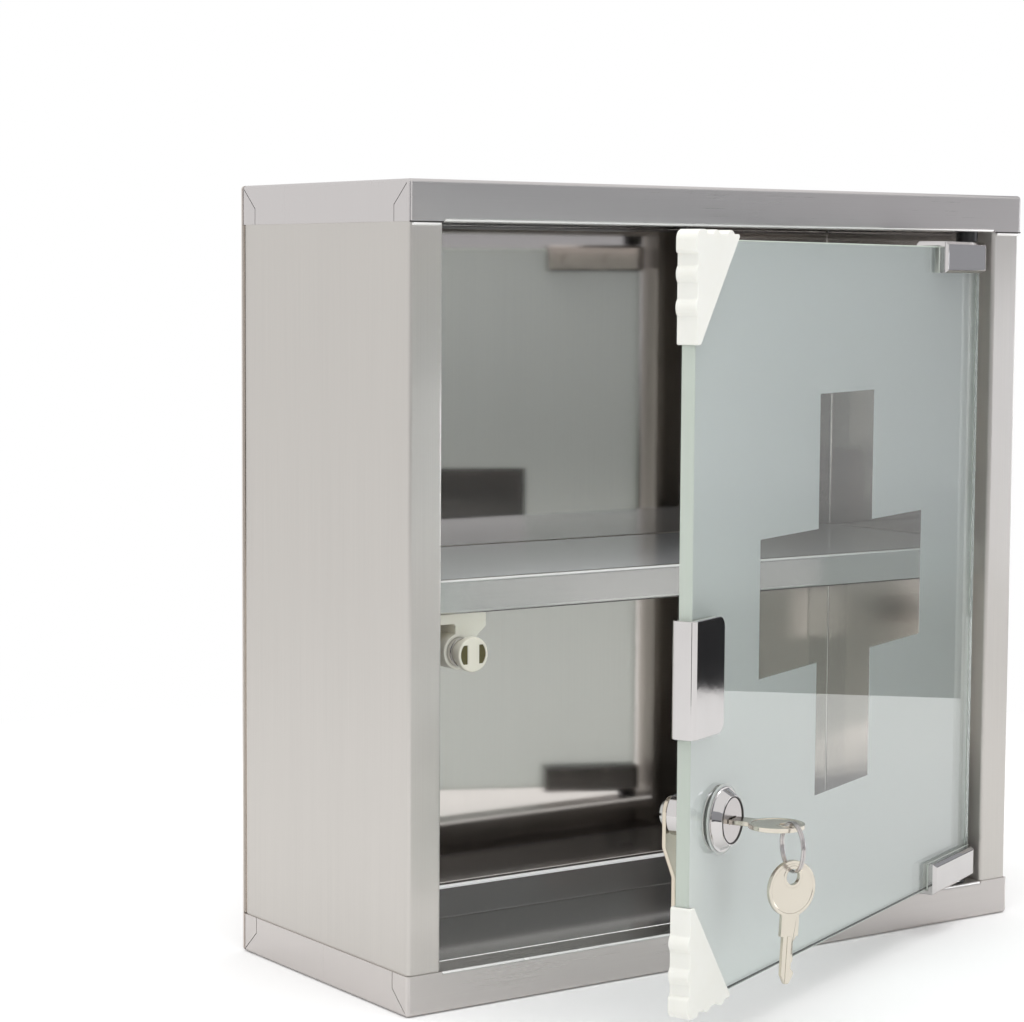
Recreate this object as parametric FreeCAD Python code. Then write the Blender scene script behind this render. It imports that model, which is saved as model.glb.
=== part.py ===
"""Wall cabinet for first aid supplies: folded steel case, one shelf, frosted glass door.

The origin is the middle of the case's underside. +Z is up, the front faces -Y and the back, at +Y,
goes against the wall. The door is drawn closed and then turned about its pivots to the rest angle.
"""
import FreeCAD, Part
import math
import os

# Case: two folded trays above and below, two side panels and a flat back
width = 300.0
height = 300.0
depth = 120.0
sheet = 0.8
bend = 1.5
rim = 15.0
channel_depth = 14.0
channel_lip = 5.0
channel_root = 6.0
rear_hem = 2.2
side_flange = 12.0
fit_gap = 0.1
tab_length = 10.0
tab_square = 6.0
seam = 0.3
wall_hole_radius = 2.5
wall_hole_inset = 40.0
wall_hole_rise = 35.0
overrun = 2.0
touch = 0.001
driver_slot = 0.8
driver_depth = 0.8

# Shelf: one shallow folded pan, open side down, with a wide return behind its front edge
shelf_top = 155.5
shelf_drop = 13.0
shelf_setback = 15.0
shelf_return = 22.0

# Door: one plate of tempered glass, frosted on its back round a clear cross
glass_side_gap = 6.0
glass_free_gap = 4.7
glass_foot_gap = 5.0
glass_top_gap = 6.3
glass_thickness = 5.0
glass_setback = 2.0
glass_arris = 0.4
frost_depth = 0.15
cross_span = 148.0
cross_arm = 49.3
rest_angle = 24.7
pivot_inset = 3.5
pivot_behind = 2.0

# Hinge clips: a cast socket on each hinge corner, clamped by two screws, turning on a pin
clip_length = 47.0
clip_height = 12.5
clip_cover = 2.0
clip_end_wall = 1.5
clip_front = 6.3
clip_back = 7.1
clip_knuckle = 5.5
clip_back_corner = 4.0
clip_bevel = 1.2
pad_thickness = 0.5
pressure_plate = 1.0
clip_slot_gap = 0.2
clip_screw_radius = 1.9
clip_screw_head = 3.2
clip_screw_head_height = 1.8
clip_screw_first = 17.0
clip_screw_pitch = 20.0
pin_radius = 2.0
pin_running_gap = 0.05
pin_reach = 6.5
bush_flange_radius = 4.4
bush_body_radius = 3.2
bush_depth = 4.5
bearing_gap = 0.3

# Handle: a U of plated strip pushed over the free edge on a rubber liner
handle_height = 40.0
handle_middle = 132.0
handle_cover = 21.3
handle_half_width = 4.5
handle_strip = 1.4
handle_corner = 4.0
handle_edge_gap = 0.3
handle_bend = 2.2

# Cam lock: body with a coned collar, turning plug, wafers, washer, nut and cranked cam
lock_inset = 24.8
lock_height = 81.2
collar_radius = 11.3
collar_rim = 0.5
collar_face_radius = 8.8
collar_rise = 3.7
collar_recess = 1.5
collar_facets = 12
barrel_radius = 7.5
barrel_flat = 6.9
barrel_length = 12.7
barrel_hole_gap = 0.5
gasket_radius = 12.2
gasket_thickness = 0.5
lock_washer_radius = 10.8
lock_washer_thickness = 0.6
nut_across = 20.0
nut_thickness = 4.0
nut_sides = 6
thread_gap = 0.1
plug_head_radius = 7.9
plug_head_height = 1.2
plug_recess = 0.2
plug_radius = 5.5
plug_running_gap = 0.08
plug_stand_out = 1.0
plug_square = 6.0
keyway_gap = 0.3
keyway_depth = 17.0
wafer_count = 5
wafer_pitch = 2.5
wafer_first = 5.0
wafer_thickness = 0.7
wafer_width = 7.6
wafer_height = 7.2
wafer_gap = 0.05
cam_thickness = 1.5
cam_width = 11.0
cam_length = 40.0
cam_head = 6.0
cam_crank_start = 11.0
cam_crank_end = 21.0
cam_crank_offset = 3.8
cam_crank_bend = 3.0
cam_tip_corner = 3.0
cam_flat = 0.3
cam_screw_radius = 1.9
cam_screw_head = 4.2
cam_screw_height = 1.8
cam_screw_length = 5.5

# Keys: round bow, stamped neck, grooved blade with bitting; both hang on one split ring
key_thickness = 1.6
key_bow_radius = 9.6
key_neck_length = 7.35
key_neck_width = 7.2
key_blade_length = 16.3
key_blade_width = 5.0
key_tip_length = 3.2
key_tip_width = 1.6
key_hole_radius = 2.7
key_hole_inset = 5.6
key_groove_width = 1.3
key_groove_depth = 0.45
key_cut_pitch = 2.5
key_cut_first = 2.6
key_cut_half_width = 0.95
key_cut_depths = [0.9, 1.4, 0.6, 1.2]
key_seat_gap = 0.2
key_rim_width = 1.1
key_rim_depth = 0.2
ring_radius = 8.3
ring_wire_radius = 0.45
ring_coil_offset = 0.38
ring_reach = 5.6
ring_shift = 1.2
ring_turn = 39.7
spare_turn = 28.7
spare_drop = 1.75
spare_tilt = 3.5

# Push catch: sprung magnetic plunger in a barrel, held by a bracket under the shelf
catch_inset = 34.5
catch_drop = 14.3
catch_travel = 4.0
plunger_cap_radius = 6.5
plunger_cap_height = 2.8
plunger_edge = 0.6
plunger_radius = 4.5
plunger_length = 18.4
plunger_wall = 0.6
plunger_running_gap = 0.08
pole_slot_offset = 4.0
pole_slot_width = 3.0
pole_slot_height = 7.0
pole_recess = 0.4
pole_gap = 0.1
magnet_radius = 3.8
magnet_length = 6.0
catch_barrel_radius = 5.4
catch_barrel_length = 34.0
catch_barrel_end = 1.0
spring_wire = 0.35
spring_turns = 6
spring_gap = 0.1
bracket_outboard = 13.5
bracket_inboard = 12.0
bracket_flange = 4.0
bracket_length = 19.5
bracket_ring_wall = 1.3
bracket_mouth = 2.5
bracket_neck_outboard = 1.6
bracket_neck_inboard = 8.0
bracket_shoulder = 5.4
bracket_corner = 1.2
bracket_screw_offset = 5.0
bracket_screw_radius = 1.5
bracket_screw_head = 2.75
bracket_screw_head_height = 1.6
bracket_screw_length = 8.0
bracket_screw_places = [4.5, 14.5]

# Corner guards: soft pockets pushed over the two free corners of the glass
guard_along_top = 31.0
guard_down_side = 35.0
guard_wall = 1.0
guard_floor = 1.9
guard_knob = 1.3
guard_knob_length = 5.5
guard_knob_first = 13.5
guard_knob_pitch = 11.0
guard_corner = 8.0
guard_corner_radius = 3.5
guard_half_width = 3.9
guard_slot_gap = 0.05
guard_round = 0.8

# Places worked out from the sizes above
half_width = width / 2
front = -depth / 2
tray_back = depth / 2 - sheet
inner_bend = bend - sheet
opening_half = half_width - rim
panel_inside = half_width - sheet - sheet
middle_height = height / 2
glass_edge = half_width - rim - glass_side_gap
free_edge = rim + glass_free_gap - half_width
glass_low = rim + glass_foot_gap
glass_high = height - rim - glass_top_gap
glass_centre = (glass_low + glass_high) / 2
half_glass = glass_thickness / 2
glass_middle = front + glass_setback + half_glass
pivot_x = glass_edge - pivot_inset
pivot_y = glass_middle + pivot_behind
lock_x = free_edge + lock_inset
cam_plane = half_glass + barrel_length + plug_stand_out + cam_thickness / 2
key_seat = half_glass + gasket_thickness + collar_rise - plug_recess + key_seat_gap
key_bow_centre = key_neck_length + key_bow_radius - key_groove_width / 2
key_end = key_bow_centre + key_bow_radius
key_hole_place = key_end - key_hole_inset
shelf_front = front + shelf_setback
shelf_low = shelf_top - shelf_drop
catch_x = catch_inset - half_width
catch_height = shelf_low - catch_drop
catch_face = glass_middle + handle_half_width + bearing_gap
catch_mouth = catch_face + plunger_cap_height + catch_travel + bearing_gap


def vec(x, y, z):
    """A point or direction."""
    return FreeCAD.Vector(x, y, z)


def out(distance):
    """Depth, with the door closed, of a plane that far in front of the middle of the glass."""
    return glass_middle - distance


def block(low, high):
    """Box between two opposite corners."""
    sizes = [far - near for near, far in zip(low, high)]
    return Part.makeBox(*sizes, vec(*low))


def rod(radius, start, end):
    """Round bar from one point to another."""
    base = vec(*start)
    run = vec(*end) - base
    return Part.makeCylinder(radius, run.Length, base, run)


def joined(shapes):
    """Several shapes made one, without the seams between them."""
    return shapes[0].fuse(shapes[1:]).removeSplitter()


def outline(corners, radii):
    """Closed wire through the corners, each rounded to its own radius; zero leaves it sharp."""
    count = len(corners)
    stops = []
    for index, corner in enumerate(corners):
        back = (corners[index - 1] - corner).normalize()
        ahead = (corners[(index + 1) % count] - corner).normalize()
        half = back.getAngle(ahead) / 2
        reach = radii[index] / math.tan(half)
        inward = (back + ahead).normalize()
        crown = corner + inward * (radii[index] / math.sin(half) - radii[index])
        stops.append((corner + back * reach, crown, corner + ahead * reach))
    edges = []
    for index, (start, crown, end) in enumerate(stops):
        following = stops[(index + 1) % count][0]
        if radii[index]:
            edges.append(Part.Arc(start, crown, end).toShape())
        if not end.isEqual(following, touch):
            edges.append(Part.LineSegment(end, following).toShape())
    return Part.Wire(edges)


def prism(corners, radii, sweep):
    """Rounded outline pushed along a straight sweep."""
    return Part.Face(outline(corners, radii)).extrude(vec(*sweep))


def folded(path, gauge, outer_bend, sweep):
    """Strip of metal bent along its middle line, pushed along a straight sweep."""
    across = vec(*sweep).normalize()
    runs = [(end - start).normalize() for start, end in zip(path, path[1:])]
    sides = [across.cross(run) for run in runs]
    left = []
    right = []
    left_radii = []
    right_radii = []
    for index, point in enumerate(path):
        before = sides[max(index - 1, 0)]
        after = sides[min(index, len(sides) - 1)]
        mitre = (before + after) * (gauge / 2 / (1 + before.dot(after)))
        left.append(point + mitre)
        right.append(point - mitre)
        turn = before.cross(after).dot(across)
        inner = outer_bend - gauge
        left_radii.append(inner if turn > touch else outer_bend if turn < -touch else 0)
        right_radii.append(outer_bend if turn > touch else inner if turn < -touch else 0)
    return prism(left + right[::-1], left_radii + right_radii[::-1], sweep)


def pan(low, high, gauge, outer_bend):
    """Open-topped tray of bent sheet with rounded bottom and corner bends."""
    outer = block(low, high)
    inner_low = [low[0] + gauge, low[1] + gauge, low[2] + gauge]
    inner_high = [high[0] - gauge, high[1] - gauge, high[2] + overrun]
    inner = block(inner_low, inner_high)
    outer = outer.makeFillet(outer_bend, edges_from(outer, low[2]))
    return outer.cut(inner.makeFillet(outer_bend - gauge, edges_from(inner, inner_low[2])))


def edges_from(shape, level):
    """Edges that start at a level: those round the foot and those that rise from it."""
    return [edge for edge in shape.Edges if edge.BoundBox.ZMin < level + touch]


def tray():
    """Lower tray of the case: floor, four rims, a channel behind the front and mitred tabs."""
    middle = sheet / 2
    shell = pan((-half_width, front, 0), (half_width, tray_back, rim), sheet, bend)
    reach = opening_half - fit_gap
    shell = shell.cut(block((-reach, front - overrun, rim - channel_root),
                            (reach, front + sheet + overrun, rim + overrun)))
    inner_reach = panel_inside - fit_gap
    shell = shell.cut(block((-inner_reach, tray_back - sheet - overrun, rim - channel_root),
                            (inner_reach, tray_back + overrun, rim + overrun)))
    channel = [
        vec(-reach, front + channel_depth - middle, rim - channel_lip),
        vec(-reach, front + channel_depth - middle, rim - middle),
        vec(-reach, front + middle, rim - middle),
        vec(-reach, front + middle, rim - channel_root),
    ]
    hem = [
        vec(-inner_reach, tray_back - middle, rim - channel_root),
        vec(-inner_reach, tray_back - middle, rim - middle),
        vec(-inner_reach, tray_back - rear_hem, rim - middle),
    ]
    body = joined([
        shell,
        folded(channel, sheet, bend, (2 * reach, 0, 0)),
        folded(hem, sheet, bend, (2 * inner_reach, 0, 0)),
    ])
    return body.cut(tab_seams())


def tab_seams():
    """Slits that part each side rim from the tabs of the front and rear rims."""
    slits = []
    for corner, inward in ((front, 1), (tray_back, -1)):
        edge = corner + inward * tab_length
        turn = rim - tab_square
        path = [
            vec(-half_width - overrun, edge, rim + overrun),
            vec(-half_width - overrun, edge, turn),
            vec(-half_width - overrun, corner + inward * bend, bend),
        ]
        for side in (0, half_width + half_width):
            moved = [point + vec(side, 0, 0) for point in path]
            slits.append(folded(moved, seam, seam, (2 * overrun, 0, 0)))
    return slits


def lifted(shape, about):
    """The same shape turned over about a height."""
    return shape.mirror(vec(0, 0, about), vec(0, 0, 1))


def base():
    """Lower tray with a hole in its channel for the lower bush."""
    hole = rod(bush_body_radius, (pivot_x, pivot_y, rim - overrun), (pivot_x, pivot_y, rim + overrun))
    return tray().cut(hole)


def cap():
    """Upper tray, the same part turned over."""
    return lifted(base(), middle_height)


def right_side_panel():
    """Side of the case: rear flange, side, front stile and the return beside the opening."""
    middle = sheet / 2
    path = [
        vec(opening_half + middle, front + channel_depth, bend),
        vec(opening_half + middle, front + sheet + middle, bend),
        vec(half_width - sheet - middle, front + sheet + middle, bend),
        vec(half_width - sheet - middle, tray_back - middle, bend),
        vec(half_width - sheet - side_flange, tray_back - middle, bend),
    ]
    panel = folded(path, sheet, bend, (0, 0, height - 2 * bend))
    notch_low = (half_width - side_flange - overrun, tray_back - bend - fit_gap, 0)
    notch_high = (half_width, tray_back + overrun, rim + fit_gap)
    notch = block(notch_low, notch_high)
    return panel.cut([notch, lifted(notch, middle_height)])


def left_side_panel():
    """The other side of the case, opposite hand."""
    return right_side_panel().mirror(vec(0, 0, 0), vec(1, 0, 0))


def back_panel():
    """Flat back with four holes for the wall screws."""
    corners = [
        vec(-half_width, tray_back, 0),
        vec(half_width, tray_back, 0),
        vec(half_width, tray_back, height),
        vec(-half_width, tray_back, height),
    ]
    plate = prism(corners, [bend] * len(corners), (0, sheet, 0))
    holes = []
    for x in (wall_hole_inset - half_width, half_width - wall_hole_inset):
        for z in (wall_hole_rise, height - wall_hole_rise):
            holes.append(rod(wall_hole_radius, (x, tray_back - overrun, z), (x, depth / 2 + overrun, z)))
    return plate.cut(holes)


def shelf():
    """Shelf pan, open side down, with the screw holes of the catch in its front return."""
    rear = tray_back - sheet
    flipped = pan((-panel_inside, shelf_front, shelf_low), (panel_inside, rear, shelf_top), sheet, bend)
    level = (shelf_low + shelf_top) / 2
    body = flipped.mirror(vec(0, 0, level), vec(0, 0, 1))
    reach = panel_inside - sheet - fit_gap
    body = body.cut(block((-reach, shelf_front - overrun, shelf_low - overrun),
                          (reach, shelf_front + sheet + overrun, level)))
    middle = sheet / 2
    path = [
        vec(-reach, shelf_front + middle, level),
        vec(-reach, shelf_front + middle, shelf_low + middle),
        vec(-reach, shelf_front + shelf_return, shelf_low + middle),
    ]
    body = joined([body, folded(path, sheet, bend, (2 * reach, 0, 0))])
    holes = [rod(bracket_screw_radius, (x, y, shelf_low - overrun), (x, y, shelf_low + overrun))
             for x, y in bracket_screw_spots()]
    return body.cut(holes)


def pivot_bush(gap):
    """Flanged bush in the lower channel's hole, for a glass that far from the channel."""
    low = rim - bush_depth
    high = rim + gap - clip_cover - bearing_gap
    flange = rod(bush_flange_radius, (pivot_x, pivot_y, rim), (pivot_x, pivot_y, high))
    body = rod(bush_body_radius, (pivot_x, pivot_y, low), (pivot_x, pivot_y, high))
    bore = rod(pin_radius + pin_running_gap, (pivot_x, pivot_y, low - overrun),
               (pivot_x, pivot_y, high + overrun))
    return joined([flange, body]).cut(bore)


def door_glass():
    """Glass plate, a cross standing clear of the etched back, and a hole for the lock."""
    plate = block((free_edge, out(half_glass), glass_low), (glass_edge, out(-half_glass), glass_high))
    plate = plate.makeChamfer(glass_arris, plate.Edges)
    span = cross_span / 2
    arm = cross_arm / 2
    back = out(-half_glass - frost_depth)
    root = out(0)
    upright = block((-arm, root, middle_height - span), (arm, back, middle_height + span))
    level = block((-span, root, middle_height - arm), (span, back, middle_height + arm))
    hole = rod(barrel_radius + barrel_hole_gap, (lock_x, out(half_glass + overrun), lock_height),
               (lock_x, out(-half_glass - overrun), lock_height))
    return joined([plate, upright, level]).cut(hole)


def clip_ends():
    """Where a hinge clip ends: at its free end and round the corner of the glass."""
    hinge_end = glass_edge + clip_slot_gap + clip_end_wall
    return hinge_end - clip_length, hinge_end


def clip_screw_spots():
    """Places along the clip of its two clamping screws, and their height."""
    hinge_end = clip_ends()[1]
    first = hinge_end - clip_screw_first
    return (first, first - clip_screw_pitch), glass_low + (clip_height - clip_cover) / 2


def hinge_clip():
    """Cast socket round the lower hinge corner of the glass, bored for pin and screws."""
    free_end, hinge_end = clip_ends()
    low = glass_low - clip_cover
    corners = [
        vec(free_end, out(clip_front), low),
        vec(hinge_end, out(clip_front), low),
        vec(hinge_end, out(-clip_back), low),
        vec(free_end, out(-clip_back), low),
    ]
    body = prism(corners, [0, clip_knuckle, clip_back_corner, 0], (0, 0, clip_height))
    face_edges = [edge for edge in body.Edges
                  if edge.BoundBox.YMax < out(clip_front) + touch
                  and (edge.BoundBox.ZLength < touch or edge.BoundBox.XMax < free_end + touch)]
    body = body.makeChamfer(clip_bevel, face_edges)
    slot_back = half_glass + pad_thickness + pressure_plate + clip_slot_gap
    slot = block((free_end - overrun, out(half_glass + pad_thickness), glass_low - clip_slot_gap),
                 (glass_edge + clip_slot_gap, out(-slot_back), low + clip_height + overrun))
    bores = [rod(pin_radius, (pivot_x, pivot_y, low - overrun), (pivot_x, pivot_y, glass_low))]
    places, level = clip_screw_spots()
    for place in places:
        bores.append(rod(clip_screw_radius, (place, out(-half_glass), level),
                         (place, out(-clip_back - overrun), level)))
    return body.cut([slot] + bores)


def clip_pads():
    """Rubber pads on both faces of the glass inside the clip."""
    free_end = clip_ends()[0]
    high = glass_low - clip_cover + clip_height
    front_pad = block((free_end, out(half_glass + pad_thickness), glass_low),
                      (glass_edge, out(half_glass), high))
    back_pad = front_pad.mirror(vec(0, out(0), 0), vec(0, 1, 0))
    return Part.makeCompound([front_pad, back_pad])


def clamp_plate():
    """Steel strip that spreads the screws' force over the rear pad."""
    free_end = clip_ends()[0]
    high = glass_low - clip_cover + clip_height
    face = half_glass + pad_thickness
    return block((free_end, out(-face), glass_low), (glass_edge, out(-face - pressure_plate), high))


def clip_screws():
    """Two slotted cheese-head screws through the rear jaw onto the clamping strip."""
    places, level = clip_screw_spots()
    start = out(-half_glass - pad_thickness - pressure_plate)
    seat = out(-clip_back)
    end = seat + clip_screw_head_height
    screws = []
    for place in places:
        shank = rod(clip_screw_radius, (place, start, level), (place, end, level))
        head = rod(clip_screw_head, (place, seat, level), (place, end, level))
        slot = block((place - clip_screw_head, end - driver_depth, level - driver_slot / 2),
                     (place + clip_screw_head, end + overrun, level + driver_slot / 2))
        screws.append(joined([shank, head]).cut(slot))
    return Part.makeCompound(screws)


def pivot_pin():
    """Pin pressed into the clip that turns in the lower bush."""
    face = glass_low - clip_cover
    return rod(pin_radius, (pivot_x, pivot_y, face - pin_reach),
               (pivot_x, pivot_y, glass_low - clip_slot_gap))


def handle_face():
    """Side view of the handle: a strip with its two inner corners rounded."""
    inner = free_edge + handle_cover
    outer = free_edge - handle_edge_gap - handle_strip
    low = handle_middle - handle_height / 2
    high = handle_middle + handle_height / 2
    before = out(handle_half_width)
    corners = [vec(outer, before, low), vec(inner, before, low),
               vec(inner, before, high), vec(outer, before, high)]
    return prism(corners, [0, handle_corner, handle_corner, 0], (0, 2 * handle_half_width, 0))


def handle_clip():
    """Plated strip folded round the free edge; its rear leaf is what the magnet holds."""
    middle = handle_half_width - handle_strip / 2
    web = free_edge - handle_edge_gap - handle_strip / 2
    inner = free_edge + handle_cover
    low = handle_middle - handle_height / 2
    path = [vec(inner, out(middle), low), vec(web, out(middle), low),
            vec(web, out(-middle), low), vec(inner, out(-middle), low)]
    strip = folded(path, handle_strip, handle_bend, (0, 0, handle_height))
    return strip.common(handle_face())


def handle_liner():
    """Rubber channel between the handle and the glass."""
    inner = free_edge + handle_cover
    outer = free_edge - handle_edge_gap
    grip = handle_half_width - handle_strip
    low = handle_middle - handle_height / 2
    high = handle_middle + handle_height / 2
    corners = [vec(inner, out(grip), low), vec(outer, out(grip), low),
               vec(outer, out(-grip), low), vec(inner, out(-grip), low)]
    corner = handle_bend - handle_strip
    filling = prism(corners, [0, corner, corner, 0], (0, 0, handle_height))
    glass = block((free_edge, out(half_glass), low - overrun),
                  (inner + overrun, out(-half_glass), high + overrun))
    return filling.common(handle_face()).cut(glass)


def on_lock(radius, start, end):
    """Round bar on the lock's axis between two distances in front of the glass's middle."""
    return rod(radius, (lock_x, out(start), lock_height), (lock_x, out(end), lock_height))


def ring_points(radius, sides, distance):
    """Corners of a regular outline round the lock's axis."""
    points = []
    for index in range(sides):
        angle = 2 * math.pi * (index + 1 / 2) / sides
        points.append(vec(lock_x + radius * math.cos(angle), out(distance),
                          lock_height + radius * math.sin(angle)))
    return points


def polygon(points):
    """Closed wire with straight sides."""
    return Part.makePolygon(points + points[:1])


def lock_body():
    """Lock housing: faceted collar in front of the glass and a flatted barrel through it."""
    seat = half_glass + gasket_thickness
    face = seat + collar_rise
    tail = -half_glass - barrel_length
    rim_disc = on_lock(collar_radius, seat + collar_rim, seat)
    lower = polygon(ring_points(collar_radius - collar_rim, collar_facets, seat + collar_rim))
    upper = polygon(ring_points(collar_face_radius, collar_facets, face))
    collar = Part.makeLoft([lower, upper], True, True)
    flats = block((lock_x - barrel_radius, out(seat), lock_height - barrel_flat),
                  (lock_x + barrel_radius, out(tail), lock_height + barrel_flat))
    barrel = on_lock(barrel_radius, seat, tail).common(flats)
    recess = on_lock(plug_head_radius + plug_running_gap, face + overrun, face - collar_recess)
    bore = on_lock(plug_radius + plug_running_gap, face, tail - overrun)
    return joined([rim_disc, collar, barrel]).cut([recess, bore])


def lock_gasket():
    """Thin black seal under the collar."""
    seal = on_lock(gasket_radius, half_glass + gasket_thickness, half_glass)
    return seal.cut(on_lock(barrel_radius, half_glass + overrun, 0))


def lock_washer():
    """Steel washer behind the glass."""
    washer = on_lock(lock_washer_radius, -half_glass, -half_glass - lock_washer_thickness)
    return washer.cut(on_lock(barrel_radius + thread_gap, 0, -half_glass - overrun))


def lock_nut():
    """Hexagon nut that clamps the lock to the glass."""
    near = -half_glass - lock_washer_thickness
    corner_radius = nut_across / 2 / math.cos(math.pi / nut_sides)
    face = Part.Face(polygon(ring_points(corner_radius, nut_sides, near)))
    nut = face.extrude(vec(0, nut_thickness, 0))
    bore = on_lock(barrel_radius + thread_gap, 0, near - nut_thickness - overrun)
    return nut.cut(bore)


def keyway(start, end):
    """Opening for the blade between two distances in front of the glass's middle."""
    half_blade = key_blade_width / 2 + keyway_gap
    half_thick = key_thickness / 2 + keyway_gap
    return block((lock_x - half_blade, out(start), lock_height - half_thick),
                 (lock_x + half_blade, out(end), lock_height + half_thick))


def wafer_blanks(gap):
    """Wafer plates in a row along the plug, grown by a gap on every side."""
    plug_face = half_glass + gasket_thickness + collar_rise - plug_recess
    half_wide = wafer_width / 2 + gap
    half_high = wafer_height / 2 + gap
    blanks = []
    for index in range(wafer_count):
        near = plug_face - wafer_first - index * wafer_pitch
        blanks.append(block((lock_x - half_wide, out(near + gap), lock_height - half_high),
                            (lock_x + half_wide, out(near - wafer_thickness - gap), lock_height + half_high)))
    return blanks


def lock_plug():
    """Turning core: head with keyway, slots for the wafers, square tail for the cam."""
    plug_face = half_glass + gasket_thickness + collar_rise - plug_recess
    shoulder = -half_glass - barrel_length - plug_stand_out
    tail = shoulder - cam_thickness
    head = on_lock(plug_head_radius, plug_face, plug_face - plug_head_height)
    core = on_lock(plug_radius, plug_face, shoulder)
    half_square = plug_square / 2
    square = block((lock_x - half_square, out(0), lock_height - half_square),
                   (lock_x + half_square, out(tail), lock_height + half_square))
    thread = on_lock(cam_screw_radius, tail + cam_screw_length, tail - overrun)
    slot = keyway(plug_face + overrun, plug_face - keyway_depth)
    return joined([head, core, square]).cut([thread, slot] + wafer_blanks(wafer_gap))


def lock_wafers():
    """Wafers inside the plug, each with a window for the blade."""
    plug_face = half_glass + gasket_thickness + collar_rise
    window = keyway(plug_face, plug_face - keyway_depth)
    return Part.makeCompound([blank.cut(window) for blank in wafer_blanks(0)])


def lock_cam():
    """Cranked strip that swings behind the stile when the key turns."""
    half_strip = cam_width / 2
    left = lock_x - half_strip
    path = [
        vec(left, out(-cam_plane), lock_height + cam_head),
        vec(left, out(-cam_plane), lock_height - cam_crank_start),
        vec(left, out(cam_crank_offset - cam_plane), lock_height - cam_crank_end),
        vec(left, out(cam_crank_offset - cam_plane), lock_height - cam_length),
    ]
    strip = folded(path, cam_thickness, cam_crank_bend, (cam_width, 0, 0))
    right = lock_x + half_strip
    low = lock_height - cam_length
    high = lock_height + cam_head
    corners = [vec(left, out(0), low), vec(right, out(0), low), vec(right, out(0), high), vec(left, out(0), high)]
    radii = [cam_tip_corner, cam_tip_corner, half_strip - cam_flat, half_strip - cam_flat]
    face = prism(corners, radii, (0, cam_plane + overrun, 0))
    half_square = plug_square / 2
    hole = block((lock_x - half_square, out(0), lock_height - half_square),
                 (lock_x + half_square, out(-cam_plane - overrun), lock_height + half_square))
    return strip.common(face).cut(hole)


def cam_screw():
    """Slotted screw that holds the cam on the plug."""
    seat = -cam_plane - cam_thickness / 2
    top = seat - cam_screw_height
    screw = joined([on_lock(cam_screw_radius, seat + cam_screw_length, top),
                    on_lock(cam_screw_head, seat, top)])
    slot = block((lock_x - cam_screw_head, out(top + driver_depth), lock_height - driver_slot / 2),
                 (lock_x + cam_screw_head, out(top - overrun), lock_height + driver_slot / 2))
    return screw.cut(slot)


def flat_key():
    """Key lying flat: shoulder at zero, blade towards -X, bow towards +X."""
    half = key_thickness / 2
    half_blade = key_blade_width / 2
    half_tip = key_tip_width / 2
    half_neck = key_neck_width / 2
    bow = rod(key_bow_radius, (key_bow_centre, 0, -half), (key_bow_centre, 0, half))
    neck = block((0, -half_neck, -half), (key_bow_centre, half_neck, half))
    taper = key_tip_length - key_blade_length
    blade_points = [
        vec(0, -half_blade, -half), vec(0, half_blade, -half), vec(taper, half_blade, -half),
        vec(-key_blade_length, half_tip, -half), vec(-key_blade_length, -half_tip, -half),
        vec(taper, -half_blade, -half),
    ]
    blade = Part.Face(polygon(blade_points)).extrude(vec(0, 0, key_thickness))
    key = joined([bow, neck, blade])
    cuts = [rod(key_hole_radius, (key_hole_place, 0, -key_thickness), (key_hole_place, 0, key_thickness))]
    for index, bite in enumerate(key_cut_depths):
        place = -key_cut_first - index * key_cut_pitch
        notch = [vec(place - key_cut_half_width - bite, half_blade, -half),
                 vec(place - key_cut_half_width, half_blade - bite, -half),
                 vec(place + key_cut_half_width, half_blade - bite, -half),
                 vec(place + key_cut_half_width + bite, half_blade, -half)]
        cuts.append(Part.Face(polygon(notch)).extrude(vec(0, 0, key_thickness)))
    for side in (-1, 1):
        groove = side * (half + key_groove_width - key_groove_depth)
        cuts.append(rod(key_groove_width, (-key_blade_length, 0, groove), (0, 0, groove)))
        face = side * (half - key_rim_depth)
        beyond = side * key_thickness
        field = rod(key_bow_radius - key_rim_width, (key_bow_centre, 0, face), (key_bow_centre, 0, beyond))
        boss = rod(key_hole_radius + key_rim_width, (key_hole_place, 0, face), (key_hole_place, 0, beyond))
        cuts.append(field.cut(boss))
    return key.cut(cuts)


def placed(shape, origin, along, flat):
    """Shape moved to an origin with its X along one direction and its Z along another."""
    rotation = FreeCAD.Rotation(along, flat.cross(along), flat, "XZY")
    return shape.transformGeometry(FreeCAD.Placement(origin, rotation).toMatrix())


def key():
    """Key in the lock, blade inside the plug and bow standing out level."""
    return placed(flat_key(), vec(lock_x, out(key_seat), lock_height), vec(0, -1, 0), vec(0, 0, 1))


def bearing(turn):
    """Level direction turned that far from straight back."""
    angle = math.radians(turn)
    return vec(math.sin(angle), math.cos(angle), 0)


def ring_centre():
    """Middle of the ring that hangs through the key's hole and round its edge."""
    drop = math.sqrt(ring_radius ** 2 - ring_reach ** 2)
    hole = vec(lock_x, out(key_seat + key_hole_place), lock_height)
    return hole - bearing(ring_turn) * (ring_reach - ring_shift) - vec(0, 0, drop)


def key_ring():
    """Split ring: two turns of wire side by side, each with one open end."""
    across = bearing(ring_turn).cross(vec(0, 0, 1))
    centre = ring_centre()
    turns = []
    for side in (-1, 1):
        turns.append(Part.makeTorus(ring_radius, ring_wire_radius,
                                    centre + across * (side * ring_coil_offset), across))
    return joined(turns)


def key_spare():
    """Second key, hanging by its hole from the foot of the ring."""
    flat = bearing(spare_turn)
    foot = ring_centre() - vec(0, 0, ring_radius)
    origin = foot - vec(0, 0, spare_drop + key_hole_place)
    hung = placed(flat_key(), origin, vec(0, 0, 1), flat)
    return hung.rotate(foot, flat, spare_tilt)


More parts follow.
